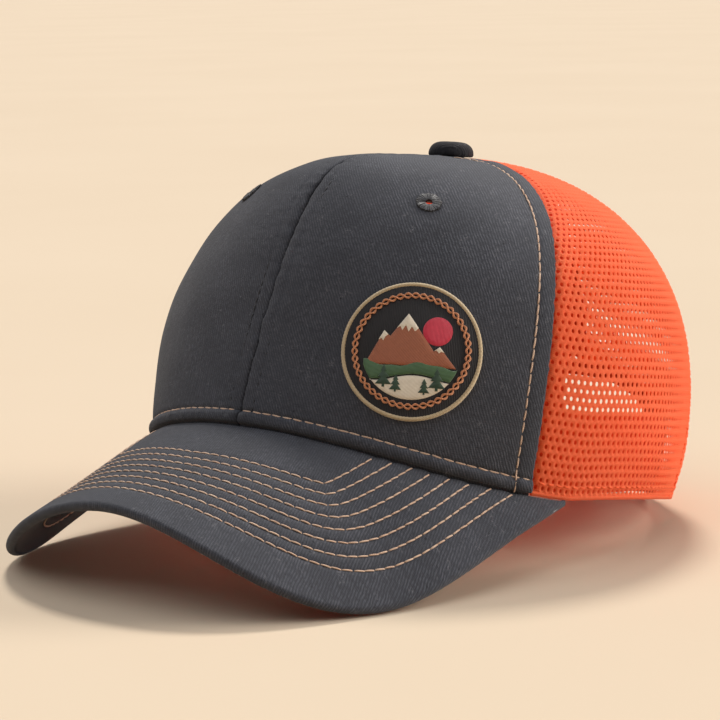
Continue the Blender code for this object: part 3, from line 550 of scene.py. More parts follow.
def weave_look(name, dark, light, pitch=0.5 * MM, sheen=0.3, bump=0.1 * MM, glow=0.0):
    """Plain weave cloth or tape, with painted shade between the yarns and painted highlight on them."""
    look = Look(name, roughness=0.85, sheen=sheen, specular=0.15)
    if glow:
        look.glow(glow, light)
    place = look.flat()
    warp = look.wave(place, pitch, 0, 0.0001)
    weft = look.wave(place, pitch, 90, 0.0001)
    fuzz = look.noise(place, 2400.0, 2.0)
    cloud = look.noise(place, 60.0, 2.0)
    height = look.plus(look.sum("MAXIMUM", warp, weft), look.times(fuzz, 0.4))
    # Painted shade and highlight: the colour follows the height of the crossing yarns; the cloud adds random
    # tone.
    shade = look.times(height, 0.45)
    shade = look.plus(shade, look.times(look.sum("SUBTRACT", cloud, 0.5), 0.5), clamp=True)
    return look.finish(look.mix(shade, dark, light), height, bump)


def knit_look(name, dark, light):
    """Filament yarn of the open knit: its courses follow the cloth and its fuzz fills space; its colour
    carries painted shade and highlight on the yarn and course relief.
    """
    look = Look(name, roughness=0.62, sheen=0.08, specular=0.2)
    look.glow(KNIT_GLOW, light)
    place = look.solid()
    fuzz = look.noise(place, 1500.0, 2.0, 0.6)
    cloud = look.noise(place, 55.0, 2.0)
    rising = look.wave(look.flat(), KNIT_YARN, 62, 0.0003)
    falling = look.wave(look.flat(), KNIT_YARN, -62, 0.0003)
    course = look.wave(look.flat(), KNIT_ROW, 90)
    yarn = look.sum("MAXIMUM", rising, falling)
    # Painted shade and highlight: the colour follows the yarn ridges and the courses; the fuzz and the cloud
    # add random tone.
    shade = look.plus(look.times(fuzz, 0.5), look.times(cloud, 0.4))
    shade = look.plus(shade, look.times(yarn, 0.5))
    shade = look.plus(shade, look.times(course, 0.15))
    shade = look.sum("SUBTRACT", shade, 0.2, clamp=True)
    height = look.plus(yarn, look.times(fuzz, 0.6))
    return look.finish(look.mix(shade, dark, light), height, 0.16 * MM, 0.8)


def thread_look(name, dark, light, ply=0.42 * MM, sheen=0.1):
    """Twisted sewing thread; the flat coordinates run along the thread and round it. Its colour is painted
    darker in the twist grooves as painted shade.
    """
    look = Look(name, roughness=0.6, sheen=sheen, specular=0.2)
    place = look.flat()
    twist = look.wave(place, ply, 55)
    patch = look.noise(look.solid(), 180.0, 1.0)
    # Painted shade: the twist ridges set the colour, darker in the grooves; the patch noise adds random tone.
    shade = look.plus(look.times(twist, 0.6), look.times(patch, 0.5))
    shade = look.sum("SUBTRACT", shade, 0.05, clamp=True)
    return look.finish(look.mix(shade, dark, light), twist, 0.08 * MM, 0.7)


def satin_look(name, dark, light, degrees=90, pitch=0.42 * MM, sheen=0.3):
    """Embroidery floss laid in parallel stitches, with painted shade between them and painted highlight on
    their crests.
    """
    look = Look(name, roughness=0.5, sheen=sheen, specular=0.35)
    place = look.flat()
    floss = look.wave(place, pitch, degrees, 0.0002)
    uneven = look.noise(place, 700.0, 2.0)
    # Painted shade and highlight: the floss ridges set the colour, darker between the stitches; the uneven
    # noise adds random tone.
    shade = look.plus(look.times(floss, 0.55), look.times(uneven, 0.5), clamp=True)
    return look.finish(look.mix(shade, dark, light), floss, 0.12 * MM, 0.8)


def plastic_look(name, dark, light):
    """Moulded soft plastic with a faint spark-eroded grain and handling marks."""
    look = Look(name, roughness=0.42, specular=0.5, coat=0.08)
    place = look.solid()
    grain = look.noise(place, 2600.0, 1.0)
    marks = look.noise(place, 240.0, 4.0, 0.7)
    colour = look.mix(look.ramp(look.noise(place, 90.0, 2.0), 0.3, 0.7), dark, light)
    rough = look.add("MapRange", i0=marks, i1=0.3, i2=0.7, i3=0.34, i4=0.5)
    return look.finish(colour, grain, 0.03 * MM, 0.4, rough)


def steel_look(name):
    look = Look(name, roughness=0.35, metallic=1.0)
    place = look.solid()
    brushed = look.noise(place, 1800.0, 3.0, 0.7)
    worn = look.noise(place, 300.0, 3.0)
    colour = look.mix(look.ramp(worn, 0.35, 0.7), (196, 196, 198), (150, 148, 146))
    rough = look.add("MapRange", i0=brushed, i1=0.3, i2=0.7, i3=0.25, i4=0.5)
    return look.finish(colour, brushed, 0.02 * MM, 0.4, rough)


def board_look(name):
    """Matte moulded board of the visor core."""
    look = Look(name, roughness=0.7)
    place = look.solid()
    grain = look.noise(place, 1400.0, 3.0)
    colour = look.mix(look.noise(place, 90.0, 3.0), (180, 180, 178), (205, 204, 200))
    return look.finish(colour, grain, 0.05 * MM)


def floor_look(name):
    look = Look(name, roughness=0.75, specular=0.2)
    place = look.solid()
    cloud = look.noise(place, 3.0, 3.0)
    colour = look.mix(cloud, (194, 175, 151), (200, 182, 159))
    return look.finish(colour, look.noise(place, 500.0, 2.0), 0.02 * MM, 0.2)


CLOTH_FRONT = twill_look("charcoal_twill_front", (32, 33, 37), (80, 81, 88), 0.92 * MM, -31, 0.6, 0.08)
# Painted shade: the visor's twill is a slightly darker copy of the front panels' twill, for how the light
# falls on the visor.
SHADED_VISOR_TWILL = twill_look("charcoal_twill_visor", (32, 33, 37), (76, 77, 84), 0.88 * MM, -20, 0.66, 0.1)
# Painted shade: the under cover is a darker copy of the visor's twill, for the shade under the visor.
SHADED_UNDER_TWILL = twill_look("charcoal_twill_under", (28, 28, 31), (60, 60, 64), 0.88 * MM, -20, 0.6, 0.1)
CLOTH_BUTTON = twill_look("charcoal_twill_button", (22, 21, 23), (48, 46, 49), sheen=0.05)
CHARCOAL_TAPE = weave_look("charcoal_tape", (30, 29, 31), (62, 61, 64))
ORANGE_TAPE = weave_look("orange_tape", (232, 72, 28), (255, 118, 66), sheen=0.1, glow=0.2)
SWEAT_CLOTH = weave_look("sweatband_cloth", (236, 70, 26), (255, 112, 62), 0.6 * MM, 0.1, glow=0.3)
BUCKRAM = weave_look("buckram_weave", (188, 186, 178), (232, 231, 224), pitch=1.1 * MM, bump=0.25 * MM)
KNIT = knit_look("orange_knit", (253, 94, 44), (255, 138, 86))
# The tan thread's dark brown is painted shade: it stands for the brown halo of shade round each stitch.
TAN_THREAD = thread_look("tan_thread", (150, 98, 68), (230, 206, 182))
DARK_THREAD = thread_look("charcoal_thread", (28, 27, 29), (70, 69, 73))
ORANGE_THREAD = thread_look("orange_thread", (226, 70, 26), (255, 122, 70), sheen=0.0)
RING_THREAD = satin_look("charcoal_satin", (20, 19, 22), (70, 69, 73), 0, 0.55 * MM, 0.1)
FIELD = satin_look("badge_field_stitch", (16, 13, 14), (36, 31, 32), 0, 0.55 * MM, 0.05)
MERROW = satin_look("badge_border_stitch", (158, 136, 104), (206, 184, 146), 20)
CREAM = satin_look("cream_floss", (200, 184, 160), (238, 226, 206), 70)
CRIMSON = satin_look("crimson_floss", (168, 24, 46), (216, 50, 74), 0)
GREEN = satin_look("green_floss", (40, 68, 38), (76, 110, 68), 80)
PINE = satin_look("pine_floss", (22, 44, 28), (44, 72, 48), 90)
COPPER = satin_look("copper_floss", (122, 62, 34), (172, 98, 62), 60)
ROPE = satin_look("rope_floss", (150, 84, 46), (222, 150, 102), 35, 0.5 * MM)
PLASTIC = plastic_look("orange_plastic", (228, 92, 46), (240, 108, 62))
STEEL = steel_look("stamped_steel")
BOARD = board_look("visor_core_board")


# ---------------------------------------------------------------- thread

def stitches(name, paths, look, slot, pitch=STITCH_PITCH, share=0.98, width=0.31 * MM, sink=0.3 * MM):
    """Separate stitches of thread along paths of (points, normals), their ends sunk in the cloth."""
    parts = np.array([0.0, 0.07, 0.26, 0.5, 0.74, 0.93, 1.0])
    swell = np.array([0.45, 0.85, 1.0, 1.05, 1.0, 0.85, 0.45])
    lift = np.array([-1.3, -0.15, 0.3, 0.45, 0.3, -0.15, -1.3])
    chance = np.random.RandomState(len(name) + len(paths))
    rings, flat = [], []
    for points, normals in paths:
        along = travel(points)
        count = int(along[-1] / pitch)
        if count < 1:
            continue
        own = along[-1] / count
        begin = (np.arange(count) + (1 - share) / 2) * own + chance.uniform(-0.06, 0.06, count) * own
        where = begin[:, None] + parts[None] * share * own
        place = np.stack([np.interp(where, along, points[:, k]) for k in range(3)], -1)
        up = unit(np.stack([np.interp(where, along, normals[:, k]) for k in range(3)], -1))
        tangent = unit(np.gradient(place, axis=1))
        side = unit(np.cross(tangent, up))
        slip = chance.uniform(-0.06, 0.2, (count, 1, 1)) * MM
        place = place + up * (lift * sink)[None, :, None] + side * slip * (parts - 0.5)[None, :, None] * 2
        turn = np.arange(6) * math.pi / 3
        thick = swell[None, :, None, None]
        ring = (place[:, :, None] + side[:, :, None] * (np.cos(turn) * width)[None, None, :, None] * thick
                + up[:, :, None] * (np.sin(turn) * width * 0.8)[None, None, :, None] * thick)
        rings.append(ring)
        round_it = np.broadcast_to(turn * width, ring.shape[:3])
        flat.append(np.stack([np.broadcast_to(where[:, :, None], ring.shape[:3]), round_it], -1))
    rings = np.concatenate(rings)
    flat = np.concatenate(flat)
    count, steps, sides = rings.shape[:3]
    one = cells(steps, sides, wrap=True)[:, ::-1]
    size = steps * sides
    body_faces = (one[None] + (np.arange(count) * size)[:, None, None]).reshape(-1, 4)
    first = (np.arange(sides)[None] + (np.arange(count) * size)[:, None])
    last = first[:, ::-1] + (steps - 1) * sides
    return make_piece(name, rings.reshape(-1, 3), [body_faces, first, last], look, slot, uv=flat, sharp=80)


def crown_path(theta, phi, depth):
    """Places at a depth in the crown, and the crown's outward normals there."""
    return crown_layer(theta, phi, np.broadcast_to(depth, np.shape(theta))), crown_normal(theta, phi)


def mirrored(path):
    flip = np.array([-1.0, 1.0, 1.0])
    return path[0] * flip, path[1] * flip


# ---------------------------------------------------------------- front panels

def half_width_at(phi):
    """Arc from the front centre to the front seam at each phi."""
    share = np.linspace(0, 1, 40)
    return travel(crown(panel_angle(share[None], phi[:, None]), phi[:, None]))[:, -1]


def even_phis(theta, start, spacing):
    """phi values with even spacing along the meridian at theta, from start to the top."""
    samples = np.linspace(start, TOP_PHI, 800)
    along = travel(crown(theta, samples))
    return np.interp(np.linspace(0, along[-1], int(along[-1] / spacing) + 1), along, samples)


def front_grid():
    """Stations, phis and arc distances of the front panel's fine grid."""
    reach = float(half_width_at(np.array([0.0]))[0]) / MM
    near_centre = [0.12, 0.3, 0.5, 0.75, 1.0, 1.3, 1.7, 2.2, 2.8, 3.5, 4.4, 5.4]
    middle = np.arange(6.6, reach - 15.5, 1.25)
    near_seam = np.arange(reach - 15, reach - 1.5, 0.55)
    edge = reach - np.array([1.3, 1.0, 0.75, 0.5, 0.3, 0.12])
    stations = np.concatenate([near_centre, middle, near_seam, edge]) / reach
    low = np.radians(np.concatenate([np.arange(0, 1.3, 0.13), np.arange(1.3, 4.9, 0.22)]))
    phis = np.concatenate([low, even_phis(PANEL_MIDDLE, math.radians(5.1), 1.2 * MM)])
    width = half_width_at(phis)
    return stations, phis, width


def front_depth(theta, phi, from_centre, from_seam, up, seed):
    """How deep the finished cloth lies: seams, puckers, stitch lines, rolled base and soft waves."""
    height = (CROWN_HEIGHT - hem_z(theta)) * np.sin(phi)
    depth = rolled(from_centre, 1.3 * MM, 1.25 * MM) + rolled(from_seam, 0.9 * MM, 0.7 * MM)
    depth += 0.25 * MM * groove(from_centre, 2.6 * MM)
    pull = np.exp(-from_centre / (4.5 * MM)) * ripple(0.35 * from_centre, up, 3.6 * MM, 9 * MM, seed)
    depth += 0.24 * MM * pull
    uneven = 0.9 * ripple(0 * up, up, 6 * MM, 15 * MM, seed + 7)
    dimple = np.clip(np.cos(2 * math.pi * up / (3.1 * MM) + uneven), 0, 1)
    depth += 0.30 * MM * groove(from_centre - CENTRE_ROW, 0.7 * MM) * (0.25 + dimple)
    depth -= 0.14 * MM * groove(from_centre - CENTRE_ROW * 0.55, 1.6 * MM)
    scallop = 0.75 + 0.25 * np.cos(2 * math.pi * up / STITCH_PITCH)
    sewn = 0.42 * MM * groove(from_seam - SIDE_ROW, 0.75 * MM) * scallop
    puff = np.clip(1 - np.abs(from_seam / SIDE_ROW * 2 - 1), 0, 1)
    depth += sewn - 0.28 * MM * np.sqrt(puff) * (from_seam < SIDE_ROW)
    scallop = 0.75 + 0.25 * np.cos(2 * math.pi * from_centre / STITCH_PITCH)
    depth += 0.62 * MM * groove(height - BASE_ROW, 0.75 * MM) * scallop
    fold = np.clip(1 - ((height - 2.75 * MM) / (2.1 * MM)) ** 2, 0, 1)
    uneven = 1 + 0.14 * ripple(from_centre, up * 0, 5 * MM, 20 * MM, seed + 1)
    depth -= 1.4 * MM * np.sqrt(fold) * uneven
    depth += 0.95 * MM * np.clip((1.0 * MM - height) / (0.55 * MM), 0, 1)
    calm = np.clip((height - 9 * MM) / (12 * MM), 0, 1)
    soft = 0.34 * ripple(from_centre, up, 34 * MM, 70 * MM, seed + 2)
    soft += 0.10 * ripple(from_centre, up, 13 * MM, 26 * MM, seed + 3)
    return depth + soft * MM * calm


def front_panel(side, word):
    """Twill of one front panel, with its turned base, its seams and the hole under the eyelet."""
    stations, phis, width = front_grid()
    station, phi = np.meshgrid(stations, phis)
    theta = panel_angle(station, phi)
    from_centre = station * width[:, None]
    from_seam = (1 - station) * width[:, None]
    up = travel(crown(PANEL_MIDDLE, phis))[:, None] + 0 * station
    crooked = 0.30 * MM * ripple(0 * up, up, 5 * MM, 17 * MM, 88) * np.exp(-from_centre / (7 * MM))
    ragged = 0.22 * MM * ripple(0 * up, up, 1.6 * MM, 4 * MM, 90) * groove(from_seam, 0.8 * MM)
    girth = width[:, None] / np.maximum(panel_angle(np.ones_like(phi), phi), 0.1)
    theta = theta + (side * crooked + ragged) / np.maximum(girth, 4 * MM)
    depth = front_depth(theta, phi, from_centre, from_seam, up, 5 if side > 0 else 11)
    eye = crown(*EYELET_AT)
    from_eye = np.linalg.norm(crown(theta, phi) - eye, axis=-1)
    depth += 0.3 * MM * groove(from_eye, 5 * MM)
    inner_depth = np.maximum(depth + 0.3 * MM, 0.9 * MM)
    outer, inner = crown_layer(theta, phi, depth), crown_layer(theta, phi, inner_depth)
    drops = np.array([1.1, 0.9, 0.6, 0.3])[:, None, None] * MM * np.array([0, 0, 1.0])
    outer, inner = (np.concatenate([layer[:1] - drops, layer]) for layer in (outer, inner))
    middle = (from_eye[1:, 1:] + from_eye[:-1, :-1]) / 2 > CLOTH_HOLE
    keep = np.concatenate([np.ones((4, middle.shape[1]), bool), middle])
    flat = np.stack([side * np.concatenate([from_centre[:1]] * 4 + [from_centre]),
                     np.concatenate([up[:1] - drops[:, :, 2], up])], -1)
    made = slab_piece(f"front_cloth_{word}", outer, inner, CLOTH_FRONT, "charcoal_twill", flat, keep=keep,
                      mirror=side < 0, replaces=[f"front_panel_{word}"])
    cut_sheet(crown(theta, phi))


def buckram(side, word):
    """Stiffener behind one front panel."""
    phis = np.concatenate([[0.0], even_phis(PANEL_MIDDLE, math.radians(2), 2.6 * MM)[:-4]])
    stations = np.linspace(0.03, 0.965, 46)
    station, phi = np.meshgrid(stations, phis)
    theta = panel_angle(station, phi)
    up = travel(crown(PANEL_MIDDLE, phis))[:, None]
    flat = np.stack([station * half_width_at(phis)[:, None], up + 0 * phi], -1)
    soft = 0.1 * MM * ripple(flat[..., 0], flat[..., 1], 20 * MM, 50 * MM, 3)
    hole = np.linalg.norm(crown(theta, phi) - crown(*EYELET_AT), axis=-1)
    keep = (hole[1:, 1:] + hole[:-1, :-1]) / 2 > STIFFENER_HOLE
    outer, inner = (crown_layer(theta, phi, depth + soft) for depth in STIFFENER_FACES)
    made = slab_piece(f"front_stiffener_{word}", outer, inner, BUCKRAM, "buckram", flat, keep=keep,
                      mirror=side < 0, replaces=[f"front_buckram_{word}"])
    cut_sheet(crown(theta, phi))


def front_thread():
    """Tan rows along the base and beside the front seams, and dark rows beside the centre seam."""
    base, sides, centre = [], [], []
    share = np.linspace(0.012, 0.995, 240)
    for side in (1, -1):
        theta = seam_angle(FRONT_SEAM, 0.04) * share * side
        phi = phi_at_height(theta, BASE_ROW)
        base.append(crown_path(theta, phi, 0.3 * MM))
    phis = even_phis(1.0, 0.0, 1.5 * MM)[:-5]
    width = half_width_at(phis)
    theta = panel_angle(1 - SIDE_ROW / np.maximum(width, 2 * SIDE_ROW), phis)
    row = crown_path(theta, phis, np.where(phis < math.radians(2.4), -0.75 * MM, 0.2 * MM))
    sides += [row, mirrored(row)]
    phis = even_phis(0.3, math.radians(2.6), 1.5 * MM)[:-6]
    width = half_width_at(phis)
    row = crown_path(panel_angle(CENTRE_ROW / width, phis), phis, 0.30 * MM)
    centre += [row, mirrored(row)]
    stitches("thread_front_base", base, TAN_THREAD, "badge_border")
    stitches("thread_front_sides", sides, TAN_THREAD, "badge_border")
    stitches("thread_front_centre", centre, DARK_THREAD, "charcoal_thread", pitch=3.1 * MM, width=0.2 * MM)


# ---------------------------------------------------------------- knit

def knit_frame(low, high):
    """Tables that turn flat places on a knit panel into stations and phis."""
    middle = (low + high) / 2
    phis = np.linspace(0, TOP_PHI, 500)
    up = travel(crown(panel_angle(np.full(500, middle), phis), phis))
    share = np.linspace(0, 1, 24)
    widths = []
    for edge in (low, high):
        stations = middle + (edge - middle) * share
        rows = crown(panel_angle(stations[None], phis[:, None]), phis[:, None])
        widths.append(travel(rows)[:, -1])
    return middle, phis, up, widths[0], widths[1]


def opening_height(station):
    """Height of the back opening's edge above the hem at a station; zero outside it."""
    across = np.clip((3 - station) * BACK_SPAN / OPENING_HALF_ANGLE, 0, 1)
    return OPENING_HEIGHT * (1 - across ** OPENING_ROUNDNESS) ** (1 / OPENING_ROUNDNESS)


def knit_panel(name, node, low, high, reach, dips, side, seed):
    """Open knit: a brick pattern of oval holes, each with a shared crest of yarn around it."""
    middle, phis, ups, low_width, high_width = knit_frame(low, high)
    chance = np.random.RandomState(seed)
    rows = int(ups[-1] / KNIT_ROW) + 1
    columns = int(max(low_width.max(), high_width.max()) / KNIT_PITCH) + 2
    row, column = np.meshgrid(np.arange(rows), np.arange(-columns, columns + 1), indexing="ij")
    u = (column + 0.5 * (row % 2)) * KNIT_PITCH
    v = 3.1 * MM + row * KNIT_ROW

    def lay(u, v):
        phi = np.interp(v, ups, phis)
        left, right = np.interp(v, ups, low_width), np.interp(v, ups, high_width)
        part = np.where(u < 0, u / np.maximum(left, 1e-6), u / np.maximum(right, 1e-6))
        station = middle + part * (high - low) / 2
        return station, phi, u + left, right - u

    station, phi, from_low, from_high = lay(u, v)
    keep = (from_low > -reach[0]) & (from_high > -reach[1]) & (v < ups[-1] - 3 * MM)
    if high == 3:
        height = (CROWN_HEIGHT - hem_z(np.float64(math.pi))) * np.sin(phi)
        edge = opening_height(np.clip(station, 0, 3))
        inside = (station > 3 - OPENING_HALF_ANGLE / BACK_SPAN - 0.02) & (height < edge + 1.2 * MM)
        keep &= ~inside
    u, v = u[keep], v[keep]
    turn = RIGHT_ANGLE + np.arange(12) * math.pi / 6
    corners = np.array([(0, 2 / 3), (-0.5, 1 / 3), (-0.5, -1 / 3), (0, -2 / 3), (0.5, -1 / 3), (0.5, 1 / 3)])
    ring = np.empty((12, 2))
    ring[0::2] = corners
    ring[1::2] = (corners + np.roll(corners, -1, axis=0)) / 2
    ring = ring * (KNIT_PITCH, KNIT_ROW)
    crest = np.stack([u, v], -1)[:, None] + ring[None]
    keys = np.round(crest / (KNIT_PITCH / 12)).astype(np.int64).reshape(-1, 2)
    big = 1 << 20
    _, first, number = np.unique(keys[:, 0] * big + keys[:, 1], return_index=True, return_inverse=True)
    crest_flat = crest.reshape(-1, 2)[first]
    number = number.reshape(-1, 12)
    is_corner = (first % 12) % 2 == 0
    crest_flat = crest_flat + chance.uniform(-0.05, 0.05, crest_flat.shape) * MM
    size = 1 + chance.uniform(-0.10, 0.08, (len(u), 1))
    hole = np.stack([u, v], -1)[:, None] + np.stack([np.cos(turn) * KNIT_HOLE[0] * size,
                                                     np.sin(turn) * KNIT_HOLE[1] * size], -1)
    flat = np.concatenate([crest_flat, crest_flat, hole.reshape(-1, 2)])
    count = len(crest_flat)
    sag = np.where(is_corner, -0.22, 0.1) * MM + chance.uniform(-0.06, 0.06, count) * MM
    wave = 0.35 * MM * ripple(flat[:, 0], flat[:, 1], 38 * MM, 80 * MM, seed)
    layers = np.concatenate([sag, KNIT_THICKNESS - sag, np.full(hole.shape[0] * 12, KNIT_THICKNESS / 2)])
    station, phi, from_low, from_high = lay(flat[:, 0], flat[:, 1])
    dip = sum(deep * groove(np.maximum(away, 0), 1.5 * MM) for deep, away in zip(dips, (from_low, from_high)))
    calm = np.clip(flat[:, 1] / (14 * MM), 0, 1) * np.clip(np.minimum(from_low, from_high) / (12 * MM), 0, 1)
    points = crown_layer(panel_angle(station, phi), phi, layers + dip + wave * calm)
    ring_hole = 2 * count + np.arange(hole.shape[0] * 12).reshape(-1, 12)
    after = np.roll(number, -1, axis=1)
    hole_after = np.roll(ring_hole, -1, axis=1)
    front = np.stack([number, after, hole_after, ring_hole], -1).reshape(-1, 4)
    back = np.stack([after + count, number + count, ring_hole, hole_after], -1).reshape(-1, 4)
    start, end = number.ravel(), after.ravel()
    open_edge = ~np.isin(start * big + end, end * big + start)
    start, end = start[open_edge], end[open_edge]
    rim = np.stack([end, start, start + count, end + count], -1)
    made = make_piece(name, points, [front, back, rim], KNIT, "orange_mesh", uv=flat, mirror=side < 0,
                      replaces=[node], sharp=75)
    station, phi = np.meshgrid(np.linspace(low, high, 24), phis[::10])
    cut_sheet(crown(panel_angle(station, phi), phi))


def hem_roll(side, word):
    """Turned edge of the knit along the hem, from the front seam to the back opening."""
    stations = np.linspace(1.0, 3 - OPENING_HALF_ANGLE / BACK_SPAN, 260)
    theta = panel_angle(stations, 0 * stations)
    turn = np.arange(12) * math.pi / 6
    rise = 0.82 * MM + 0.8 * MM * np.sin(turn)
    depth = 0.35 * MM - 0.55 * MM * np.cos(turn)
    wobble = 0.06 * MM * ripple(stations * 60 * MM, 0 * stations, 4 * MM, 9 * MM, 7)
    phi = phi_at_height(theta[:, None], rise[None])
    rings = crown_layer(theta[:, None], phi, depth[None] + wobble[:, None])
    along = travel(crown(theta, 0 * theta))
    flat = np.stack([along[:, None] + 0 * phi, 0 * phi + turn[None] * 0.8 * MM], -1)
    points, faces = tube(rings)
    return make_piece(f"knit_hem_{word}", points, faces, KNIT, "orange_mesh", uv=flat, mirror=side < 0)


def knit_thread():
    """Orange row along the knit hem."""
    stations = np.linspace(1.01, 2.44, 400)
    theta = panel_angle(stations, 0 * stations)
    row = crown_path(theta, phi_at_height(theta, KNIT_HEM_ROW), -0.02 * MM)
    stitches("thread_knit_hem", [row, mirrored(row)], ORANGE_THREAD, "orange_mesh", pitch=3.4 * MM,
             share=0.72, width=0.3 * MM)


# ---------------------------------------------------------------- inside

def tape(name, node, station, width, depth, side=1, low=0.0, look=ORANGE_TAPE, slot="orange_cloth"):
    """Seam tape inside the crown, with slightly rolled long edges."""
    phis = even_phis(1.2, low, 2.0 * MM)
    phis = phis[phis < TAPE_TOP]
    theta = panel_angle(np.full(len(phis), float(station)), phis)
    girth = np.maximum(crown(np.full(len(phis), RIGHT_ANGLE), phis)[:, 0], 1 * MM)
    half = np.minimum(width / 2 / girth, math.radians(17))
    across = np.linspace(-1, 1, 13)
    angle = theta[:, None] + half[:, None] * across[None]
    phi = phis[:, None] + 0 * angle
    along = travel(crown(theta, phis))
    flat = np.stack([across[None] * width / 2 + 0 * phi, along[:, None] + 0 * phi], -1)
    sewn = 0.14 * MM * (groove(np.abs(flat[..., 0]) - width * 0.36, 0.8 * MM))
    soft = 0.08 * MM * ripple(flat[..., 0], flat[..., 1], 12 * MM, 30 * MM, 9)
    thick = 0.5 * MM - 0.3 * MM * np.abs(across[None]) ** 8
    made = slab_piece(name, crown_layer(angle, phi, depth + soft),
                      crown_layer(angle, phi, depth + soft + thick - sewn), look, slot, flat,
                      mirror=side < 0, replaces=[node])
    strip_sheet(crown_layer(angle, phi, depth + 0 * phi))
    rows = []
    for share in (-0.72, 0.72):
        line = theta + half * share
        place, normal = crown_path(line, phis, depth + 0.42 * MM)
        rows.append((place, -normal))
    if side < 0:
        rows = [mirrored(row) for row in rows]
    thread = DARK_THREAD if look is CHARCOAL_TAPE else ORANGE_THREAD
    stitches(name + "_thread", rows, thread, slot, pitch=3.6 * MM, width=0.22 * MM, sink=0.2 * MM)


def tapes():
    """A tape behind every seam: charcoal at the front centre and orange elsewhere."""
    tape("tape_front_centre", "centre_front_seam_tape", 0, NARROW_TAPE, FRONT_TAPE_DEPTH, look=CHARCOAL_TAPE,
         slot="charcoal_twill")
    for side, word in ((1, "left"), (-1, "right")):
        tape(f"tape_front_side_{word}", f"front_side_seam_tape_{word}", 1, WIDE_TAPE, FRONT_TAPE_DEPTH, side)
        tape(f"tape_side_back_{word}", f"side_back_seam_tape_{word}", 2, NARROW_TAPE, KNIT_TAPE_DEPTH, side)
    above_opening = float(phi_at_height(np.float64(math.pi), 52 * MM))
    tape("tape_back_centre", "centre_back_seam_tape", 3, NARROW_TAPE, KNIT_TAPE_DEPTH, low=above_opening)


def sweatband():
    """Soft band inside the hem, with rounded edges and sewn rows near its foot and its top."""
    end = 3 - OPENING_HALF_ANGLE / BACK_SPAN - 0.03
    stations = np.linspace(-end, end, 420)
    heights = np.array([0.6, 0.9, 1.6, 2.6, 3.4, 4.4, 6, 8, 10, 12, 14, 16, 18, 20, 22, 24, 26, 27.5, 28.6,
                        29.4, 29.8]) * MM
    station, height = np.meshgrid(stations, heights)
    hem = panel_angle(np.abs(station), 0 * station)
    phi = phi_at_height(hem, height)
    theta = np.copysign(panel_angle(np.abs(station), phi), station)
    blend = np.clip((np.abs(station) - 1.2) / 0.7, 0, 1)
    blend = blend * blend * (3 - 2 * blend)
    depth = (3.7 + 3.6 * blend) * MM
    along = travel(crown(np.copysign(hem[0], stations), 0 * stations))
    flat = np.stack([along[None] + 0 * height, height], -1)
    soft = 0.22 * MM * ripple(flat[..., 0], height, 22 * MM, 60 * MM, 21) * np.clip(height / (10 * MM), 0, 1)
    sewn = 0.3 * MM * groove(height - BAND_ROWS[0], 1.0 * MM)
    ends = np.clip(np.minimum(height - BAND_FOOT, BAND_TOP - height) / (1.3 * MM), 0, 1)
    thick = 0.45 * MM + 0.55 * MM * np.sqrt(1 - (1 - ends) ** 2) - sewn
    outer = crown_layer(theta, phi, depth + np.maximum(soft, 0))
    inner = crown_layer(theta, phi, depth + np.maximum(soft, 0) + thick)
    made = slab_piece("sweatband_cloth_band", outer, inner, SWEAT_CLOTH, "orange_cloth", flat,
                      replaces=["sweatband"])
    cut_sheet(outer)
    row = stations[4:-4]
    hem_row = panel_angle(np.abs(row), 0 * row)
    rows = []
    for rise, lift in zip(BAND_ROWS, (0.72 * MM, 1.0 * MM)):
        phi_row = phi_at_height(hem_row, rise)
        theta_row = np.copysign(panel_angle(np.abs(row), phi_row), row)
        deep = np.interp(row, stations, depth[0]) + lift
        place, normal = crown_path(theta_row, phi_row, deep)
        rows.append((place, -normal))
    stitches("thread_sweatband", rows, ORANGE_THREAD, "orange_cloth", pitch=3.6 * MM, width=0.25 * MM)


def opening_edge(turn, shrink):
    """Station and height of places round the back opening, shrunk inwards from its edge."""
    narrow = np.degrees(shrink / HALF_WIDTH)
    power = 2 / OPENING_ROUNDNESS
    half = (OPENING_HALF_ANGLE - narrow) * np.maximum(np.cos(turn), 0.0) ** power
    return 3 - half / BACK_SPAN, (OPENING_HEIGHT - shrink) * np.sin(turn) ** power


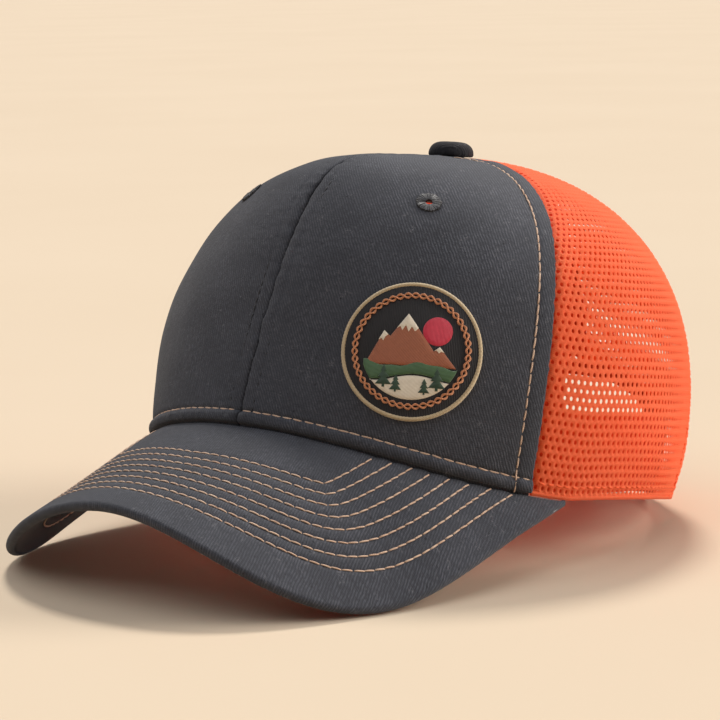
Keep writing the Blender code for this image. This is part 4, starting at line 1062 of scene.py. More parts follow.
def opening_tape():
    """Folded tape round the edge of the back opening, with a rounded fold and a sewn row on each face."""
    bend = np.linspace(-RIGHT_ANGLE, RIGHT_ANGLE, 9)
    middle, radius = 0.4 * MM, 0.85 * MM
    outer = [(-5.0, -0.35), (-4.7, -0.5), (-3.4, -0.42), (-2.0, -0.5)]
    section = [(x * MM, y * MM) for x, y in outer]
    section += [(-0.2 * MM + radius * math.cos(a), middle + radius * math.sin(a)) for a in bend]
    section += [(x * MM, 0.8 * MM - y * MM) for x, y in outer[::-1]]
    section += [(-5.0 * MM, 0.9 * MM), (-0.6 * MM, 0.85 * MM), (-0.3 * MM, 0.4 * MM), (-0.6 * MM, -0.05 * MM),
                (-5.0 * MM, -0.1 * MM)]
    section = np.array(section)
    turns = np.linspace(0, math.pi, 181)
    fold = np.where(turns < RIGHT_ANGLE, turns, math.pi - turns)
    side = np.where(turns < RIGHT_ANGLE, 1.0, -1.0)
    wobble = 0.05 * MM * ripple(turns * 40 * MM, 0 * turns, 4 * MM, 12 * MM, 31)
    station, height = opening_edge(fold[:, None], section[None, :, 0])
    phi = phi_at_height(math.pi + 0 * height, height)
    theta = panel_angle(station, phi) * side[:, None]
    rings = crown_layer(theta, phi, section[None, :, 1] + wobble[:, None])
    along = travel(rings[:, 0])
    flat = np.stack([np.broadcast_to(section[None, :, 0] + section[None, :, 1], phi.shape),
                     along[:, None] + 0 * phi], -1)
    points, faces = tube(rings)
    made = make_piece("opening_tape", points, faces, ORANGE_TAPE, "orange_cloth", uv=flat,
                      replaces=["back_opening_binding"])
    girth = np.linalg.norm(section - np.roll(section, 1, axis=0), axis=-1).sum()
    rows = []
    for depth, sign in ((-0.45 * MM, 1), (1.25 * MM, -1)):
        station, height = opening_edge(fold, OPENING_SEWN)
        phi = phi_at_height(math.pi + 0 * height, height)
        place, normal = crown_path(panel_angle(station, phi) * side, phi, depth)
        rows.append((place, normal * sign))
    stitches("thread_opening", rows, ORANGE_THREAD, "orange_cloth", pitch=3.2 * MM, width=0.24 * MM)


# ---------------------------------------------------------------- visor

def visor_outline(count):
    """Plan points of the visor's outer edge, evenly spaced, from the wearer's right to the left."""
    corner_x, corner_y = (float(v) for v in hem_xy(np.float64(VISOR_CORNER)))
    reach = FRONT_LENGTH + VISOR_LENGTH + VISOR_WIDEST_Y
    power = 2 / VISOR_ROUNDNESS
    angle = np.linspace(0, RIGHT_ANGLE, 400)
    x = VISOR_HALF_WIDTH * np.sin(angle) ** power
    y = VISOR_WIDEST_Y - reach * np.maximum(np.cos(angle), 0.0) ** power
    s = np.linspace(0, 1, 60)[1:]
    control_y = (VISOR_WIDEST_Y + corner_y) / 2
    rear_x = (1 - s) ** 2 * VISOR_HALF_WIDTH + 2 * s * (1 - s) * VISOR_HALF_WIDTH + s * s * corner_x
    rear_y = (1 - s) ** 2 * VISOR_WIDEST_Y + 2 * s * (1 - s) * control_y + s * s * corner_y
    half = np.stack([np.concatenate([x, rear_x]), np.concatenate([y, rear_y])], -1)
    line = np.concatenate([half[:0:-1] * (-1, 1), half])
    along = travel(line)
    even = np.linspace(0, along[-1], count)
    return np.stack([np.interp(even, along, line[:, k]) for k in range(2)], -1)


def visor_grid(inset, rows, count=250):
    """Plan grid from the crown to an inset from the rim, its distance from the rim, and the rim's frame."""
    rim = visor_outline(count + 2)[1:-1]
    place = sheet_layer(rim[:, 0], rim[:, 1], np.zeros(count))
    normal = sheet_normal(rim[:, 0], rim[:, 1])
    outward = unit(np.cross(unit(np.gradient(place, axis=0)), normal))
    grow = 1 + 0.25 * MM / HALF_WIDTH
    start = place - outward * inset
    share = np.linspace(0, 1, rows)[:, None]
    x, y = (own[None] * grow + (start[None, :, k] - own[None] * grow) * share
            for k, own in enumerate(hem_xy(VISOR_END * np.linspace(-1, 1, count))))
    distance = rim_distance(sheet_layer(x, y, np.zeros(x.shape)), place)
    return x, y, distance, place, normal, outward


def rim_distance(points, rim):
    """Distance of each point from the visor's rim."""
    flat = points.reshape(-1, 3)
    start, step = rim[:-1], np.diff(rim, axis=0)
    best = np.full(len(flat), 1e9)
    for low in range(0, len(flat), 4000):
        part = flat[low:low + 4000, None]
        share = np.clip(((part - start) * step).sum(-1) / (step * step).sum(-1), 0, 1)
        best[low:low + 4000] = np.linalg.norm(part - start - share[..., None] * step, axis=-1).min(-1)
    return best.reshape(points.shape[:-1])


def row_number(distance):
    """Row count at each grid point: 0 on the outermost row, whole numbers on the others."""
    share = np.abs(np.linspace(-1, 1, distance.shape[1]))
    base, rise, span = VISOR_FIRST_ROW
    first = base + rise * np.sin(math.pi * np.clip(share / span, 0, 1)) ** 2
    return (distance - first) / (VISOR_ROW_PITCH[0] + VISOR_ROW_PITCH[1] * share)


def quilting(distance, along):
    """Depth of the sewn rows and the low puffs between them."""
    number = row_number(distance)
    nearest = np.clip(np.round(number), 0, VISOR_ROWS - 1)
    off = (number - nearest) * VISOR_ROW_PITCH[0]
    scallop = 0.8 + 0.2 * np.cos(2 * math.pi * along / VISOR_STITCH)
    puff = np.clip(1 - np.abs(off) / (VISOR_ROW_PITCH[0] / 2), 0, 1)
    inside = (number > -0.5) & (number < VISOR_ROWS - 0.5)
    return 0.36 * MM * groove(off, 0.65 * MM) * scallop + np.where(inside, 0.14 * MM * puff, 0.0)


def visor_top():
    """Top cover with sewn rows, wrapped round the rim."""
    x, y, distance, place, normal, outward = visor_grid(VISOR_EDGE, 150)
    soft = 0.10 * MM * ripple(x, y, 18 * MM, 45 * MM, 41)
    depth = quilting(distance, travel(place)[None] + 0 * x) + soft * np.clip(distance / (8 * MM), 0, 1)
    top = sheet_layer(x, y, depth)
    low = sheet_layer(x, y, np.maximum(depth + 0.3 * MM, 0.6 * MM))
    turn = np.linspace(0, math.pi, 17)[1:, None, None]
    centre = (place - outward * VISOR_EDGE - normal * VISOR_EDGE)[None]
    wrap = outward[None] * np.sin(turn) + normal[None] * np.cos(turn)
    outer = np.concatenate([top, centre + VISOR_EDGE * wrap])[::-1]
    inner = np.concatenate([low, centre + (VISOR_EDGE - 0.6 * MM) * wrap])[::-1]
    ahead = unit(outward[:, :2])
    wrap_xy = np.stack([x[-1], y[-1]], -1)[None] + np.linspace(0.3, 5.0, 16)[:, None, None] * MM * ahead[None]
    flat = np.concatenate([np.stack([x, y], -1), wrap_xy])[::-1]
    made = slab_piece("visor_cloth_top", outer, inner, SHADED_VISOR_TWILL, "charcoal_twill", flat,
                      replaces=["visor_top_cover"])
    crescent_sheet(outer)
    return x, y, distance


def visor_under():
    """Under cover, tucked in at the rim, with the same rows as the top."""
    x, y, distance, place, _, _ = visor_grid(VISOR_EDGE + 0.2 * MM, 120)
    tuck = rolled(distance - VISOR_EDGE, 1.5 * MM, 0.85 * MM)
    depth = 3.5 * MM - quilting(distance, travel(place)[None] + 0 * x) - tuck
    outer = sheet_layer(x, y, depth)
    inner = sheet_layer(x, y, np.minimum(depth - 0.3 * MM, 2.95 * MM))
    made = slab_piece("visor_cloth_under", outer, inner, SHADED_UNDER_TWILL, "charcoal_twill",
                      np.stack([x, y], -1), replaces=["visor_under_cover"])
    crescent_sheet(outer)
    return x, y, distance


def contour(x, y, distance, wanted):
    """Plan line of one row, where the visor is deep enough to hold it."""
    line = []
    numbers = row_number(distance)
    for column in range(x.shape[1]):
        values = numbers[:, column]
        if not values.min() < wanted < values.max():
            continue
        order = np.argsort(values)
        line.append((column, np.interp(wanted, values[order], x[order, column]),
                     np.interp(wanted, values[order], y[order, column])))
    return np.array(line)[:, 1:]


def visor_thread(top, under):
    """Tan rows on the top; below, a tan outermost row and dark ones behind it."""
    above, below = [], []
    for number in range(VISOR_ROWS):
        for rows, cover, depth, facing in ((above, top, 0.22 * MM, 1), (below, under, 3.28 * MM, -1)):
            x, y = contour(*cover, number).T
            rows.append((sheet_layer(x, y, np.full(len(x), depth)), facing * sheet_normal(x, y)))
    stitches("thread_visor_top", above, TAN_THREAD, "badge_border", pitch=VISOR_STITCH)
    stitches("thread_visor_under_first", below[:1], TAN_THREAD, "badge_border", pitch=VISOR_STITCH)
    stitches("thread_visor_under", below[1:], DARK_THREAD, "charcoal_thread", pitch=VISOR_STITCH)


# ---------------------------------------------------------------- button and eyelets

def revolve(profile, centre, sides, bump=lambda height, turn: 0 * turn):
    """Rings of a profile of (radius, height) turned round an upright axis, with bumps added to the radius."""
    turn = full_turn(sides)
    radius, height = np.array(profile).T
    radius = radius[:, None] + bump(height[:, None], turn[None])
    rings = np.stack([radius * np.cos(turn), radius * np.sin(turn), height[:, None] + 0 * radius], -1)
    return rings + np.asarray(centre)


def button():
    """Fabric-covered button: a low dome with small gathers round its rolled foot."""
    top, wide, foot = 5.6 * MM, 8.2 * MM, 1.3 * MM
    centre, sides = (0, APEX_Y, CROWN_HEIGHT), 84
    turn = np.linspace(0, RIGHT_ANGLE, 22)[1:-1]
    profile = [(6.9 * MM, 0.3 * MM), (7.3 * MM, 0.25 * MM), (7.9 * MM, 0.35 * MM), (wide, 0.9 * MM)]
    profile += [(wide * math.cos(a) ** 0.5, foot + (top - foot) * math.sin(a) ** 1.1) for a in turn]
    profile += [(0.05 * MM, top)]
    lining = [(6.8 * MM, 0.4 * MM)]
    lining += [(max(r - 0.5 * MM, 0.02 * MM), max(h - 0.5 * MM, 0.4 * MM)) for r, h in profile[1:]]

    def gathers(height, angle):
        low = np.clip(1 - height / (2.6 * MM), 0, 1)
        return 0.14 * MM * low * np.sin(angle * 14 + 2 * np.sin(angle * 3))

    rings = revolve(profile, centre, sides, gathers)
    made = slab_piece("button_cloth", rings, revolve(lining, centre, sides), CLOTH_BUTTON, "charcoal_twill",
                      rings[..., :2] - (0, APEX_Y), wrap=True, replaces=["button_cover"])
    area_of(rings)


def polar(centre, radius, turn, depth):
    """Points round a centre on the crown, from grids of radius and turn."""
    return crown_layer(*spot(centre, radius * np.cos(turn), radius * np.sin(turn)), depth)


def eyelet(side, word):
    """Buttonhole-stitched eyelet: uneven bundles of radial thread over a low ring."""
    radii = np.array([1.25, 1.4, 1.7, 2.1, 2.6, 3.1, 3.5, 3.8, 4.05, 4.25]) * MM
    radius, angle = np.meshgrid(radii, full_turn(300), indexing="ij")
    part = (radius - EYELET_HOLE) / (3.4 * MM)
    bundle = (0.6 * np.sin(7 * angle + 1.9 * np.sin(2 * angle + side))
              + 0.5 * np.sin(13 * angle + 1.3 * np.sin(3 * angle)))
    ridge = 0.20 * MM * np.abs(np.sin(15 * angle + 1.2 * np.sin(4 * angle + side) + 0.8 * part))
    crest = np.sqrt(np.clip(1 - (part * 1.7 - 0.75) ** 2, 0, 1))
    height = 0.02 * MM + (0.42 + 0.16 * bundle * part) * MM * crest + ridge * (0.4 + 0.6 * part)
    outer_radius = radius + (0.20 * MM * bundle + 0.16 * MM * np.sin(29 * angle)) * part ** 2
    outer = polar(EYELET_AT, outer_radius, angle, -height)
    inner = polar(EYELET_AT, outer_radius, angle, 0.5 * MM + 0 * height)
    flat = np.stack([angle * 3 * MM, radius], -1)
    slab_piece(f"eyelet_thread_{word}", outer, inner, RING_THREAD, "charcoal_thread", flat, wrap=True,
               mirror=side < 0, replaces=[f"eyelet_{word}"], sharp=70)


# ---------------------------------------------------------------- badge

def badge_base():
    """Dark embroidered ground of the badge and the merrowed border round it."""
    radii = np.concatenate([[0.05 * MM], np.arange(1.4, 21.5, 1.4) * MM, [FIELD_RADIUS]])
    radius, angle = np.meshgrid(radii, full_turn(180), indexing="ij")
    outer = polar(BADGE_AT, radius, angle, -1.15 * MM + 0 * radius)
    inner = polar(BADGE_AT, radius, angle, -0.25 * MM + 0 * radius)
    flat = np.stack([radius * np.cos(angle), radius * np.sin(angle)], -1)
    made = slab_piece("badge_twill", outer, inner, FIELD, "badge_field", flat, wrap=True,
                      replaces=["badge_field"])
    area_of(outer)
    bend, angle = np.meshgrid(np.linspace(0, math.pi, 11), full_turn(600), indexing="ij")
    slant = angle * 126 + (bend - RIGHT_ANGLE) * 1.1
    ridge = 0.09 * MM * np.abs(np.sin(slant / 2))
    radius = MERROW_RADIUS - (0.75 * MM + ridge) * np.cos(bend)
    height = 0.45 * MM + (1.0 * MM + ridge) * np.sin(bend)
    outer = polar(BADGE_AT, radius, angle, -height)
    inner = polar(BADGE_AT, MERROW_RADIUS - 0.65 * MM * np.cos(bend), angle, -0.3 * MM + 0 * angle)
    flat = np.stack([angle * 23 * MM, bend * 1.2 * MM], -1)
    slab_piece("badge_merrow", outer, inner, MERROW, "badge_border", flat, wrap=True,
               replaces=["badge_border"], sharp=80)


def inside_loops(points, loops):
    """Whether each point is inside an odd number of closed loops."""
    crossings = np.zeros(len(points), int)
    for loop in loops:
        a, b = loop, np.roll(loop, -1, axis=0)
        x, y = points[:, None, 0], points[:, None, 1]
        spans = (a[None, :, 1] > y) != (b[None, :, 1] > y)
        rise = np.where(np.abs(b[:, 1] - a[:, 1]) < 1e-15, 1e-15, b[:, 1] - a[:, 1])
        at = a[None, :, 0] + (y - a[None, :, 1]) * (b[:, 0] - a[:, 0])[None] / rise[None]
        crossings += (spans & (x < at)).sum(-1)
    return crossings % 2 == 1


def loop_distance(points, loops):
    """Distance of each point from the nearest of some closed loops."""
    best = np.full(len(points), 1e9)
    for loop in loops:
        a, step = loop, np.roll(loop, -1, axis=0) - loop
        offset = points[:, None] - a[None]
        share = np.clip((offset * step).sum(-1) / np.maximum((step * step).sum(-1), 1e-18), 0, 1)
        best = np.minimum(best, np.linalg.norm(offset - share[..., None] * step, axis=-1).min(-1))
    return best


def fill(loops, spacing, insets=()):
    """Flat points and triangles inside closed loops; later loops are holes."""
    low, high = loops[0].min(0), loops[0].max(0)
    x, y = np.meshgrid(np.arange(low[0], high[0], spacing), np.arange(low[1], high[1], spacing * 0.87),
                       indexing="ij")
    x = x + (np.arange(x.shape[1]) % 2)[None] * spacing / 2
    grid = np.stack([x.ravel(), y.ravel()], -1)
    keep_off = spacing * 0.55 + (max(insets) if insets else 0)
    grid = grid[inside_loops(grid, loops)]
    grid = grid[loop_distance(grid, loops) > keep_off]
    rings = list(loops)
    for inset in insets:
        for loop in loops:
            ahead = unit(np.roll(loop, -1, axis=0) - np.roll(loop, 1, axis=0))
            moved = loop + np.stack([-ahead[:, 1], ahead[:, 0]], -1) * inset
            rings.append(moved[inside_loops(moved, loops)])
    points = [Vector(point) for ring in rings for point in ring / MM] + [Vector(point) for point in grid / MM]
    edges, start = [], 0
    for ring in rings[:len(loops)]:
        edges += [(start + i, start + (i + 1) % len(ring)) for i in range(len(ring))]
        start += len(ring)
    made = delaunay_2d_cdt(points, edges, [], 1, 1e-4)
    flat = np.array([tuple(v) for v in made[0]]) * MM
    triangles = np.array([face for face in made[2] if len(face) == 3])
    centres = flat[triangles].mean(1)
    return flat, triangles[inside_loops(centres, loops)]


def plate(loops, spacing, place, top, bottom, insets=()):
    """Closed solid over a flat outline; top and bottom give depths from the distance to its edge."""
    flat, triangles = fill(loops, spacing, insets)
    distance = loop_distance(flat, loops)
    a, b, c = (flat[triangles[:, k]] for k in range(3))
    area = (b[:, 0] - a[:, 0]) * (c[:, 1] - a[:, 1]) - (b[:, 1] - a[:, 1]) * (c[:, 0] - a[:, 0])
    triangles = np.where(area[:, None] < 0, triangles[:, ::-1], triangles)
    count = len(flat)
    points = np.concatenate([place(flat, top(distance)), place(flat, bottom(distance))])
    return points, [triangles, triangles[:, ::-1] + count, walls(triangles, count)], both(flat)


def dense(corners, spacing=0.35):
    """Closed outline through corners, with points along its sides, in metres."""
    corners = np.array(corners, float)
    line = []
    for here, there in zip(corners, np.roll(corners, -1, axis=0)):
        count = max(1, int(round(np.linalg.norm(there - here) / spacing)))
        line += [here + (there - here) * k / count for k in range(count)]
    return np.array(line) * MM


def circle(x, y, radius, count=64):
    turn = full_turn(count)
    return np.stack([x + radius * np.cos(turn), y + radius * np.sin(turn)], -1) * MM


def on_badge(flat, depth):
    """Places on the crown of flat points measured from the badge's centre."""
    theta, phi = spot(BADGE_AT, flat[:, 0], flat[:, 1])
    return crown_layer(theta, phi, depth)


def floss(name, loops, look, level=0.0):
    """One raised patch of satin stitch on the badge."""
    base = FLOSS_BASE + level * MM
    points, faces, flat = plate(loops, 0.9 * MM, on_badge,
                                lambda d: -(base + FLOSS_HEIGHT * (1 - np.exp(-d / (0.35 * MM)))),
                                lambda d: -(base - 0.25 * MM) + 0 * d, insets=(0.25 * MM,))
    make_piece(name, points, faces, look, "badge_border", uv=flat, sharp=80)


def pine(x, y, size):
    """Outline of a small conifer with its foot at (x, y)."""
    half = [(0, 1.0), (0.17, 0.70), (0.09, 0.70), (0.27, 0.42), (0.13, 0.42), (0.36, 0.12), (0.06, 0.12),
            (0.06, 0)]
    right = [(x + size * px, y + size * py) for px, py in half]
    left = [(x - size * px, y + size * py) for px, py in half[:0:-1]]
    return dense(right[::-1] + left[::-1])


def between(top, low, reach):
    """Closed outline, in metres, between two curves y = f(x) in millimetres, over |x| up to a reach."""
    x = np.linspace(-reach, reach, 90)
    upper = np.stack([x, top(x)], -1)
    lower = np.stack([x, low(x)], -1)
    return np.concatenate([lower, upper[::-1]]) * MM


def badge_motif():
    """Generic landscape: a sun, snow-capped peaks, hills, a pale meadow and four pines."""
    edge = 16.3
    rim = lambda x: -np.sqrt(np.maximum(edge ** 2 - x ** 2, 0))
    hill_top = lambda x: -4.6 + 0.9 * np.sin(x / 3.1 + 0.4) + 0.35 * np.sin(x / 1.3)
    hill_low = lambda x: -8.9 + 1.1 * np.sin(x / 4.6 + 1.2)
    floss("badge_sun", [circle(8.2, 6.8, 4.9)], CRIMSON)
    peaks = [(-14.9, -5.2), (14.9, -5.2), (9.2, 1.6), (7.3, 0.1), (-1.6, 12.2), (-7.2, 4.4), (-9.2, 6.2)]
    floss("badge_peaks", [dense(peaks)], COPPER, 0.15)
    snow_caps = {
        "badge_snow": [(-1.6, 12.2), (-5.2, 7.15), (-4.1, 7.7), (-3.4, 5.9), (-2.3, 7.9), (-1.3, 5.5),
                       (-0.3, 7.5), (0.8, 5.9), (1.9, 7.5)],
        "badge_snow_small": [(9.2, 1.6), (7.5, 0.25), (8.2, 0.35), (9.0, -0.9), (9.7, 0.0), (10.7, -0.1)],
        "badge_snow_side": [(-9.2, 6.2), (-10.9, 3.0), (-10.0, 3.5), (-9.3, 2.2), (-8.6, 3.8), (-7.8, 4.9)]}
    for name, corners in snow_caps.items():
        floss(name, [dense(corners)], CREAM, 0.42)
    floss("badge_hills", [between(hill_top, lambda x: np.maximum(hill_low(x), rim(x)), 15.4)], GREEN, 0.3)
    floss("badge_meadow", [between(lambda x: hill_low(x) - 0.45, rim, 12.9)], CREAM, 0.1)
    pines = [(-8.4, -12.6, 7.4), (-4.4, -14.0, 5.6), (8.9, -12.9, 7.6), (4.9, -14.4, 5.2)]
    for number, place_and_size in enumerate(pines):
        floss(f"badge_pine_{number}", [pine(*place_and_size)], PINE, 0.62)


def badge_rope():
    """Rope of two strands twisted round each other, inside the border."""
    twists, points, sides = 23, 690, 7
    angle = full_turn(points)
    ring = full_turn(sides)
    for number in range(2):
        phase = angle * twists + math.pi * number
        radius = ROPE_RADIUS + 0.72 * MM * np.sin(phase)
        depth = -1.45 * MM - 0.22 * MM * np.cos(phase)
        wide, tall = 0.4 * MM, 0.3 * MM
        rings = polar(BADGE_AT, radius[:, None] + wide * np.cos(ring), angle[:, None] + 0 * ring,
                      depth[:, None] - tall * np.sin(ring))
        flat = np.stack([angle[:, None] * ROPE_RADIUS * 1.4 + 0 * ring, 0 * angle[:, None] + ring * wide], -1)
        faces = cells(points, sides, wrap=True)
        last = np.arange(sides)
        after = (last + 1) % sides
        close = np.stack([(points - 1) * sides + last, (points - 1) * sides + after, after, last], -1)
        make_piece(f"badge_rope_{number + 1}", rings.reshape(-1, 3), [faces, close], ROPE, "badge_border",
                   uv=flat, sharp=80)


# ---------------------------------------------------------------- snap strap

def strap_radius(height):
    """Radius of the strap's outer face at a height, leaning as the crown's back does."""
    phi = phi_at_height(np.float64(math.pi), np.float64(20 * MM))
    lean = (float(crown(math.pi, phi)[1]) - BACK_LENGTH) / (20 * MM)
    return BACK_LENGTH - STRAP_CENTRE_Y - STRAP_DEPTH + lean * height


def on_strap(flat, depth):
    """Places on the strap's arc of flat points: the distance along it and the height."""
    radius = strap_radius(flat[:, 1]) - depth
    angle = flat[:, 0] / STRAP_GIRTH
    return np.stack([radius * np.sin(angle), STRAP_CENTRE_Y + radius * np.cos(angle), flat[:, 1]], -1)


def strap_outline(start, end, tip):
    """Strap outline, in metres, from a round tip or cut end at start to a cut end, given in millimetres."""
    low, high = STRAP_BOTTOM / MM, (STRAP_BOTTOM + STRAP_HEIGHT) / MM
    radius = TIP_RADIUS if tip else CUT_RADIUS
    way = 1 if end > start else -1
    turn = np.linspace(0, RIGHT_ANGLE, 12)
    arc = [(start + way * radius * (1 - math.sin(a)), radius * (1 - math.cos(a))) for a in turn]
    outline = [(start + way * radius, low), (end - way * CUT_RADIUS, low), (end, low + CUT_RADIUS),
               (end, high - CUT_RADIUS), (end - way * CUT_RADIUS, high), (start + way * radius, high)]
    outline += [(along, high - rise) for along, rise in arc[1:-1]]
    outline += [(along, low + rise) for along, rise in arc[:0:-1]]
    outline = np.array(outline)
    return dense(outline if way > 0 else outline[::-1], 0.6)


def strap_top(base, rim):
    """Depth of the strap's outer face from the distance to its edge: a bevel and a low moulded rim."""
    def top(distance):
        bevel = rolled(distance, 0.25 * MM, 0.2 * MM)
        raised = rim * np.clip(1 - np.abs(distance - 0.75 * MM) / (0.45 * MM), 0, 1) ** 0.5
        return base + bevel - raised
    return top


def strap_piece(name, node, start, end, tip, depth, holes, body, rim=0.18 * MM):
    """One moulded strip of the strap between two distances along it, in millimetres, with its holes."""
    middle = (STRAP_BOTTOM + STRAP_HEIGHT / 2) / MM
    loops = [strap_outline(start, end, tip)]
    loops += [circle(x, middle, HOLE_RADIUS / MM, 40)[::-1] for x in holes]
    points, faces, flat = plate(loops, 1.3 * MM, on_strap, strap_top(depth, rim),
                                lambda d: depth + STRAP_THICKNESS - rolled(d, 0.25 * MM, 0.2 * MM),
                                insets=(0.12 * MM, 0.3 * MM, 0.55 * MM, 0.75 * MM, 1.0 * MM, 1.3 * MM))
    return make_piece(name, points, faces, PLASTIC, "orange_plastic", body, flat, replaces=[node], sharp=45)


def pegs(positions, depth):
    """Snap pegs: a filleted foot, a narrow neck and a rounded bulb, as (radius, depth) in millimetres."""
    profile = np.array([(2.15, 0.08), (1.95, -0.05), (1.62, -0.3), (1.42, -0.6), (1.46, -0.95), (1.66, -1.25),
                        (1.72, -1.5), (1.58, -1.75), (1.2, -1.95), (0.6, -2.05), (0.05, -2.08)])
    turn = full_turn(28)
    middle = STRAP_BOTTOM + STRAP_HEIGHT / 2
    points, side_faces, caps, start = [], [], [], 0
    for x in positions:
        radius, angle = np.meshgrid(profile[:, 0], turn, indexing="ij")
        deep = np.repeat(profile[:, 1:], len(turn), axis=1) * MM + depth
        flat = np.stack([x * MM + radius * MM * np.cos(angle), middle + radius * MM * np.sin(angle)], -1)
        points.append(on_strap(flat.reshape(-1, 2), deep.ravel()))
        side_faces.append(cells(len(profile), len(turn), wrap=True) + start)
        caps.append((np.arange(len(turn))[::-1] + start)[None])
        caps.append((np.arange(len(turn)) + (len(profile) - 1) * len(turn) + start)[None])
        start += len(profile) * len(turn)
    make_piece("strap_pegs_snaps", np.concatenate(points), side_faces + caps, PLASTIC, "orange_plastic",
               "pegged_strap", sharp=60)


def flex_bead(along):
    """Rounded bead of plastic along the flex line, which narrows the slit between the tab and the strap."""
    turn = np.arange(12) * math.pi / 6
    height = np.linspace(STRAP_BOTTOM + 0.4 * MM, STRAP_BOTTOM + STRAP_HEIGHT - 0.4 * MM, 16)
    reach = 0.5 * MM
    flat = np.stack([along + reach * np.cos(turn) + 0 * height[:, None], height[:, None] + 0 * turn], -1)
    deep = STRAP_THICKNESS / 2 + reach * np.sin(turn) + 0 * height[:, None]
    points, faces = tube(on_strap(flat.reshape(-1, 2), deep.ravel()).reshape(16, 12, 3))
    make_piece("strap_flex_line", points, faces, PLASTIC, "orange_plastic", "holed_strap", flat, sharp=60)


def strap():
    """Both ends of the snap strap, its pegs, its flex line and the rows that sew its tab on."""
    girth = STRAP_GIRTH / MM
    pitch = PEG_PITCH / MM
    first = pitch * (PEG_ENGAGED - 1) / 2
    holes = [-first + pitch * k for k in range(PEG_COUNT)]
    flex = math.radians(FLEX_ANGLE) * girth
    slit = 0.3
    strap_piece("strap_holed", "snap_strap_holes", holes[0] - TIP_RADIUS, flex - slit, True, 0.0, holes,
                "holed_strap")
    strap_piece("strap_sewn_tab", "snap_strap_sewn_tab", flex + slit, math.radians(TAB_END_ANGLE) * girth,
                False, 0.0, [], "cap")
    flex_bead(flex * MM)
    deep = STRAP_THICKNESS + 0.4 * MM
    strap_piece("strap_pegged", "snap_strap_pegs", -holes[0] + TIP_RADIUS,
                -math.radians(PEGGED_END_ANGLE) * girth, True, deep, [], "pegged_strap", 0.0)
    pegs([-x for x in holes], deep)
    rows = []
    for angle in TAB_ROW_ANGLES:
        height = np.linspace(STRAP_BOTTOM + 1.5 * MM, STRAP_BOTTOM + STRAP_HEIGHT - 1.5 * MM, 30)
        flat = np.stack([math.radians(angle) * STRAP_GIRTH + 0 * height, height], -1)
        outside = on_strap(flat, 0 * height)
        centre = np.stack([0 * height, STRAP_CENTRE_Y + 0 * height, height], -1)
        normal = unit(outside - centre)
        rows.append((on_strap(flat, STRAP_THICKNESS + 0 * height), -normal))
    stitches("thread_sewn_tab", rows, ORANGE_THREAD, "orange_cloth", pitch=2.6 * MM, width=0.26 * MM)


STRAP_GIRTH = strap_radius(STRAP_BOTTOM + STRAP_HEIGHT / 2)


# ---------------------------------------------------------------- scene

def carried_over():
    """Materials and softened edges for the CAD nodes that stay."""
    for name, look in (("visor_board", BOARD), ("button_shell", STEEL), ("button_rivet", STEEL)):
        node = frame["nodes"][name]
        node.material_slots[0].material = look
        if name != "visor_board":
            soft = node.modifiers.new("soft_edges", "BEVEL")
            soft.width = 0.12 * MM
            soft.segments = 2
            soft.limit_method = "ANGLE"


def floor(reach=30.0):
    mesh = bpy.data.meshes.new("floor")
    mesh.from_pydata([(-reach, -reach, 0), (reach, -reach, 0), (reach, reach, 0), (-reach, reach, 0)], [],
                     [(0, 1, 2, 3)])
    mesh.materials.append(floor_look("pale_table"))
    put("floor", mesh)


def towards(azimuth, elevation):
    """Direction from the cap, in degrees: azimuth is 0 in front and grows to the wearer's left."""
    a, e = math.radians(azimuth), math.radians(elevation)
    return Vector((math.sin(a) * math.cos(e), -math.cos(a) * math.cos(e), math.sin(e)))


def sun(name, azimuth, elevation, strength, spread, colour):
    """Sun from a direction; its spread in degrees softens its shadows."""
    data = bpy.data.lights.new(name, "SUN")
    data.energy = strength
    data.angle = math.radians(spread)
    data.color = colour
    made = put(name, data)
    made.rotation_mode = "QUATERNION"
    made.rotation_quaternion = towards(azimuth, elevation).to_track_quat("Z", "Y")


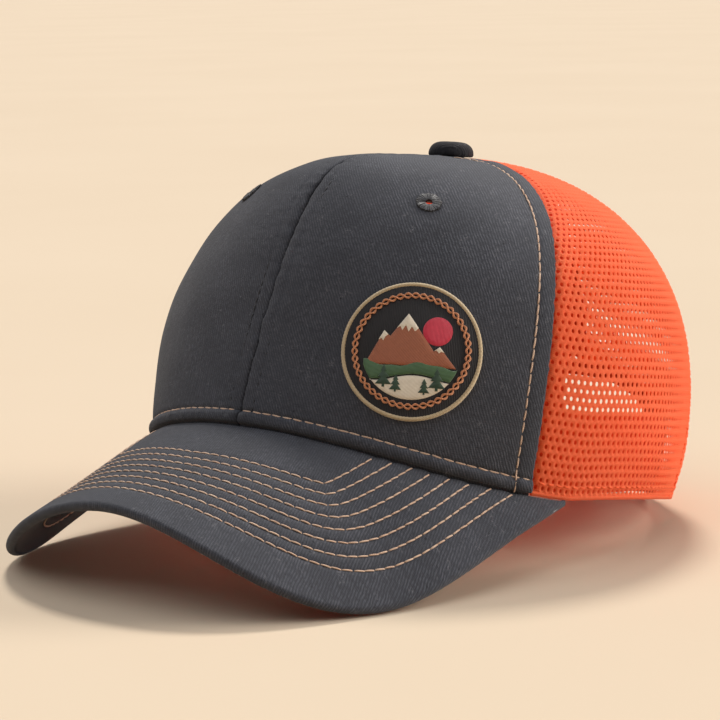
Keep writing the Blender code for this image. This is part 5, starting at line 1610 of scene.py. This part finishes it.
def lights():
    """Warm key from behind on the wearer's right, low fill from behind on the left, cool light from above."""
    sun("key_window", azimuth=218, elevation=55, strength=2.5, spread=12, colour=(1.0, 0.96, 0.90))
    sun("fill_side", azimuth=134, elevation=16, strength=3.9, spread=40, colour=(1.0, 0.97, 0.93))
    sun("soft_top", azimuth=330, elevation=68, strength=1.5, spread=70, colour=(0.88, 0.93, 1.0))
    world = bpy.data.worlds.new("studio")
    bpy.context.scene.world = world
    world.use_nodes = True
    background = world.node_tree.nodes["Background"]
    background.inputs["Color"].default_value = (1.0, 0.96, 0.92, 1.0)
    background.inputs["Strength"].default_value = 0.22


def camera():
    """Camera at the photograph's angle, turned a little so that the cap sits where it does there."""
    azimuth, elevation, distance, roll = 37.9, 8.57, 0.987, math.radians(0.98)
    focus = Vector((0, 0.0275, 0.0588))
    cap_right, cap_down = 0.0183, 0.0008
    away = towards(azimuth, elevation)
    place = focus + away * distance
    right = Vector((math.cos(math.radians(azimuth)), math.sin(math.radians(azimuth)), 0))
    aim = focus - right * cap_right + away.cross(right) * cap_down
    back = (place - aim).normalized()
    right = Vector((0, 0, 1)).cross(back).normalized()
    up = back.cross(right)
    tilted_right = right * math.cos(roll) - up * math.sin(roll)
    tilted_up = up * math.cos(roll) + right * math.sin(roll)
    data = bpy.data.cameras.new("photo_camera")
    data.lens = 136.7
    data.sensor_width = 36.0
    data.clip_start, data.clip_end = 0.05, 100.0
    made = put("photo_camera", data)
    made.matrix_world = Matrix((tilted_right, tilted_up, back)).transposed().to_4x4()
    made.location = place
    bpy.context.scene.camera = made


def main():
    camera()
    for side, word in ((1, "left"), (-1, "right")):
        front_panel(side, word)
        buckram(side, word)
        hem = hem_roll(side, word)
        knit_panel(f"side_knit_{word}", f"side_mesh_{word}", 1, 2, (0.8 * MM, -1.0 * MM),
                   (1.4 * MM, 0.5 * MM), side, 50 + side)
        knit_panel(f"back_knit_{word}", f"back_mesh_{word}", 2, 3, (-1.0 * MM, -1.0 * MM),
                   (0.5 * MM, 0.5 * MM), side, 60 + side)
        eyelet(side, word)
    front_thread()
    knit_thread()
    tapes()
    sweatband()
    opening_tape()
    visor_thread(visor_top(), visor_under())
    button()
    badge_base()
    badge_motif()
    badge_rope()
    strap()
    carried_over()
    floor()
    lights()
    bpy.context.scene.view_settings.view_transform = "Standard"


main()
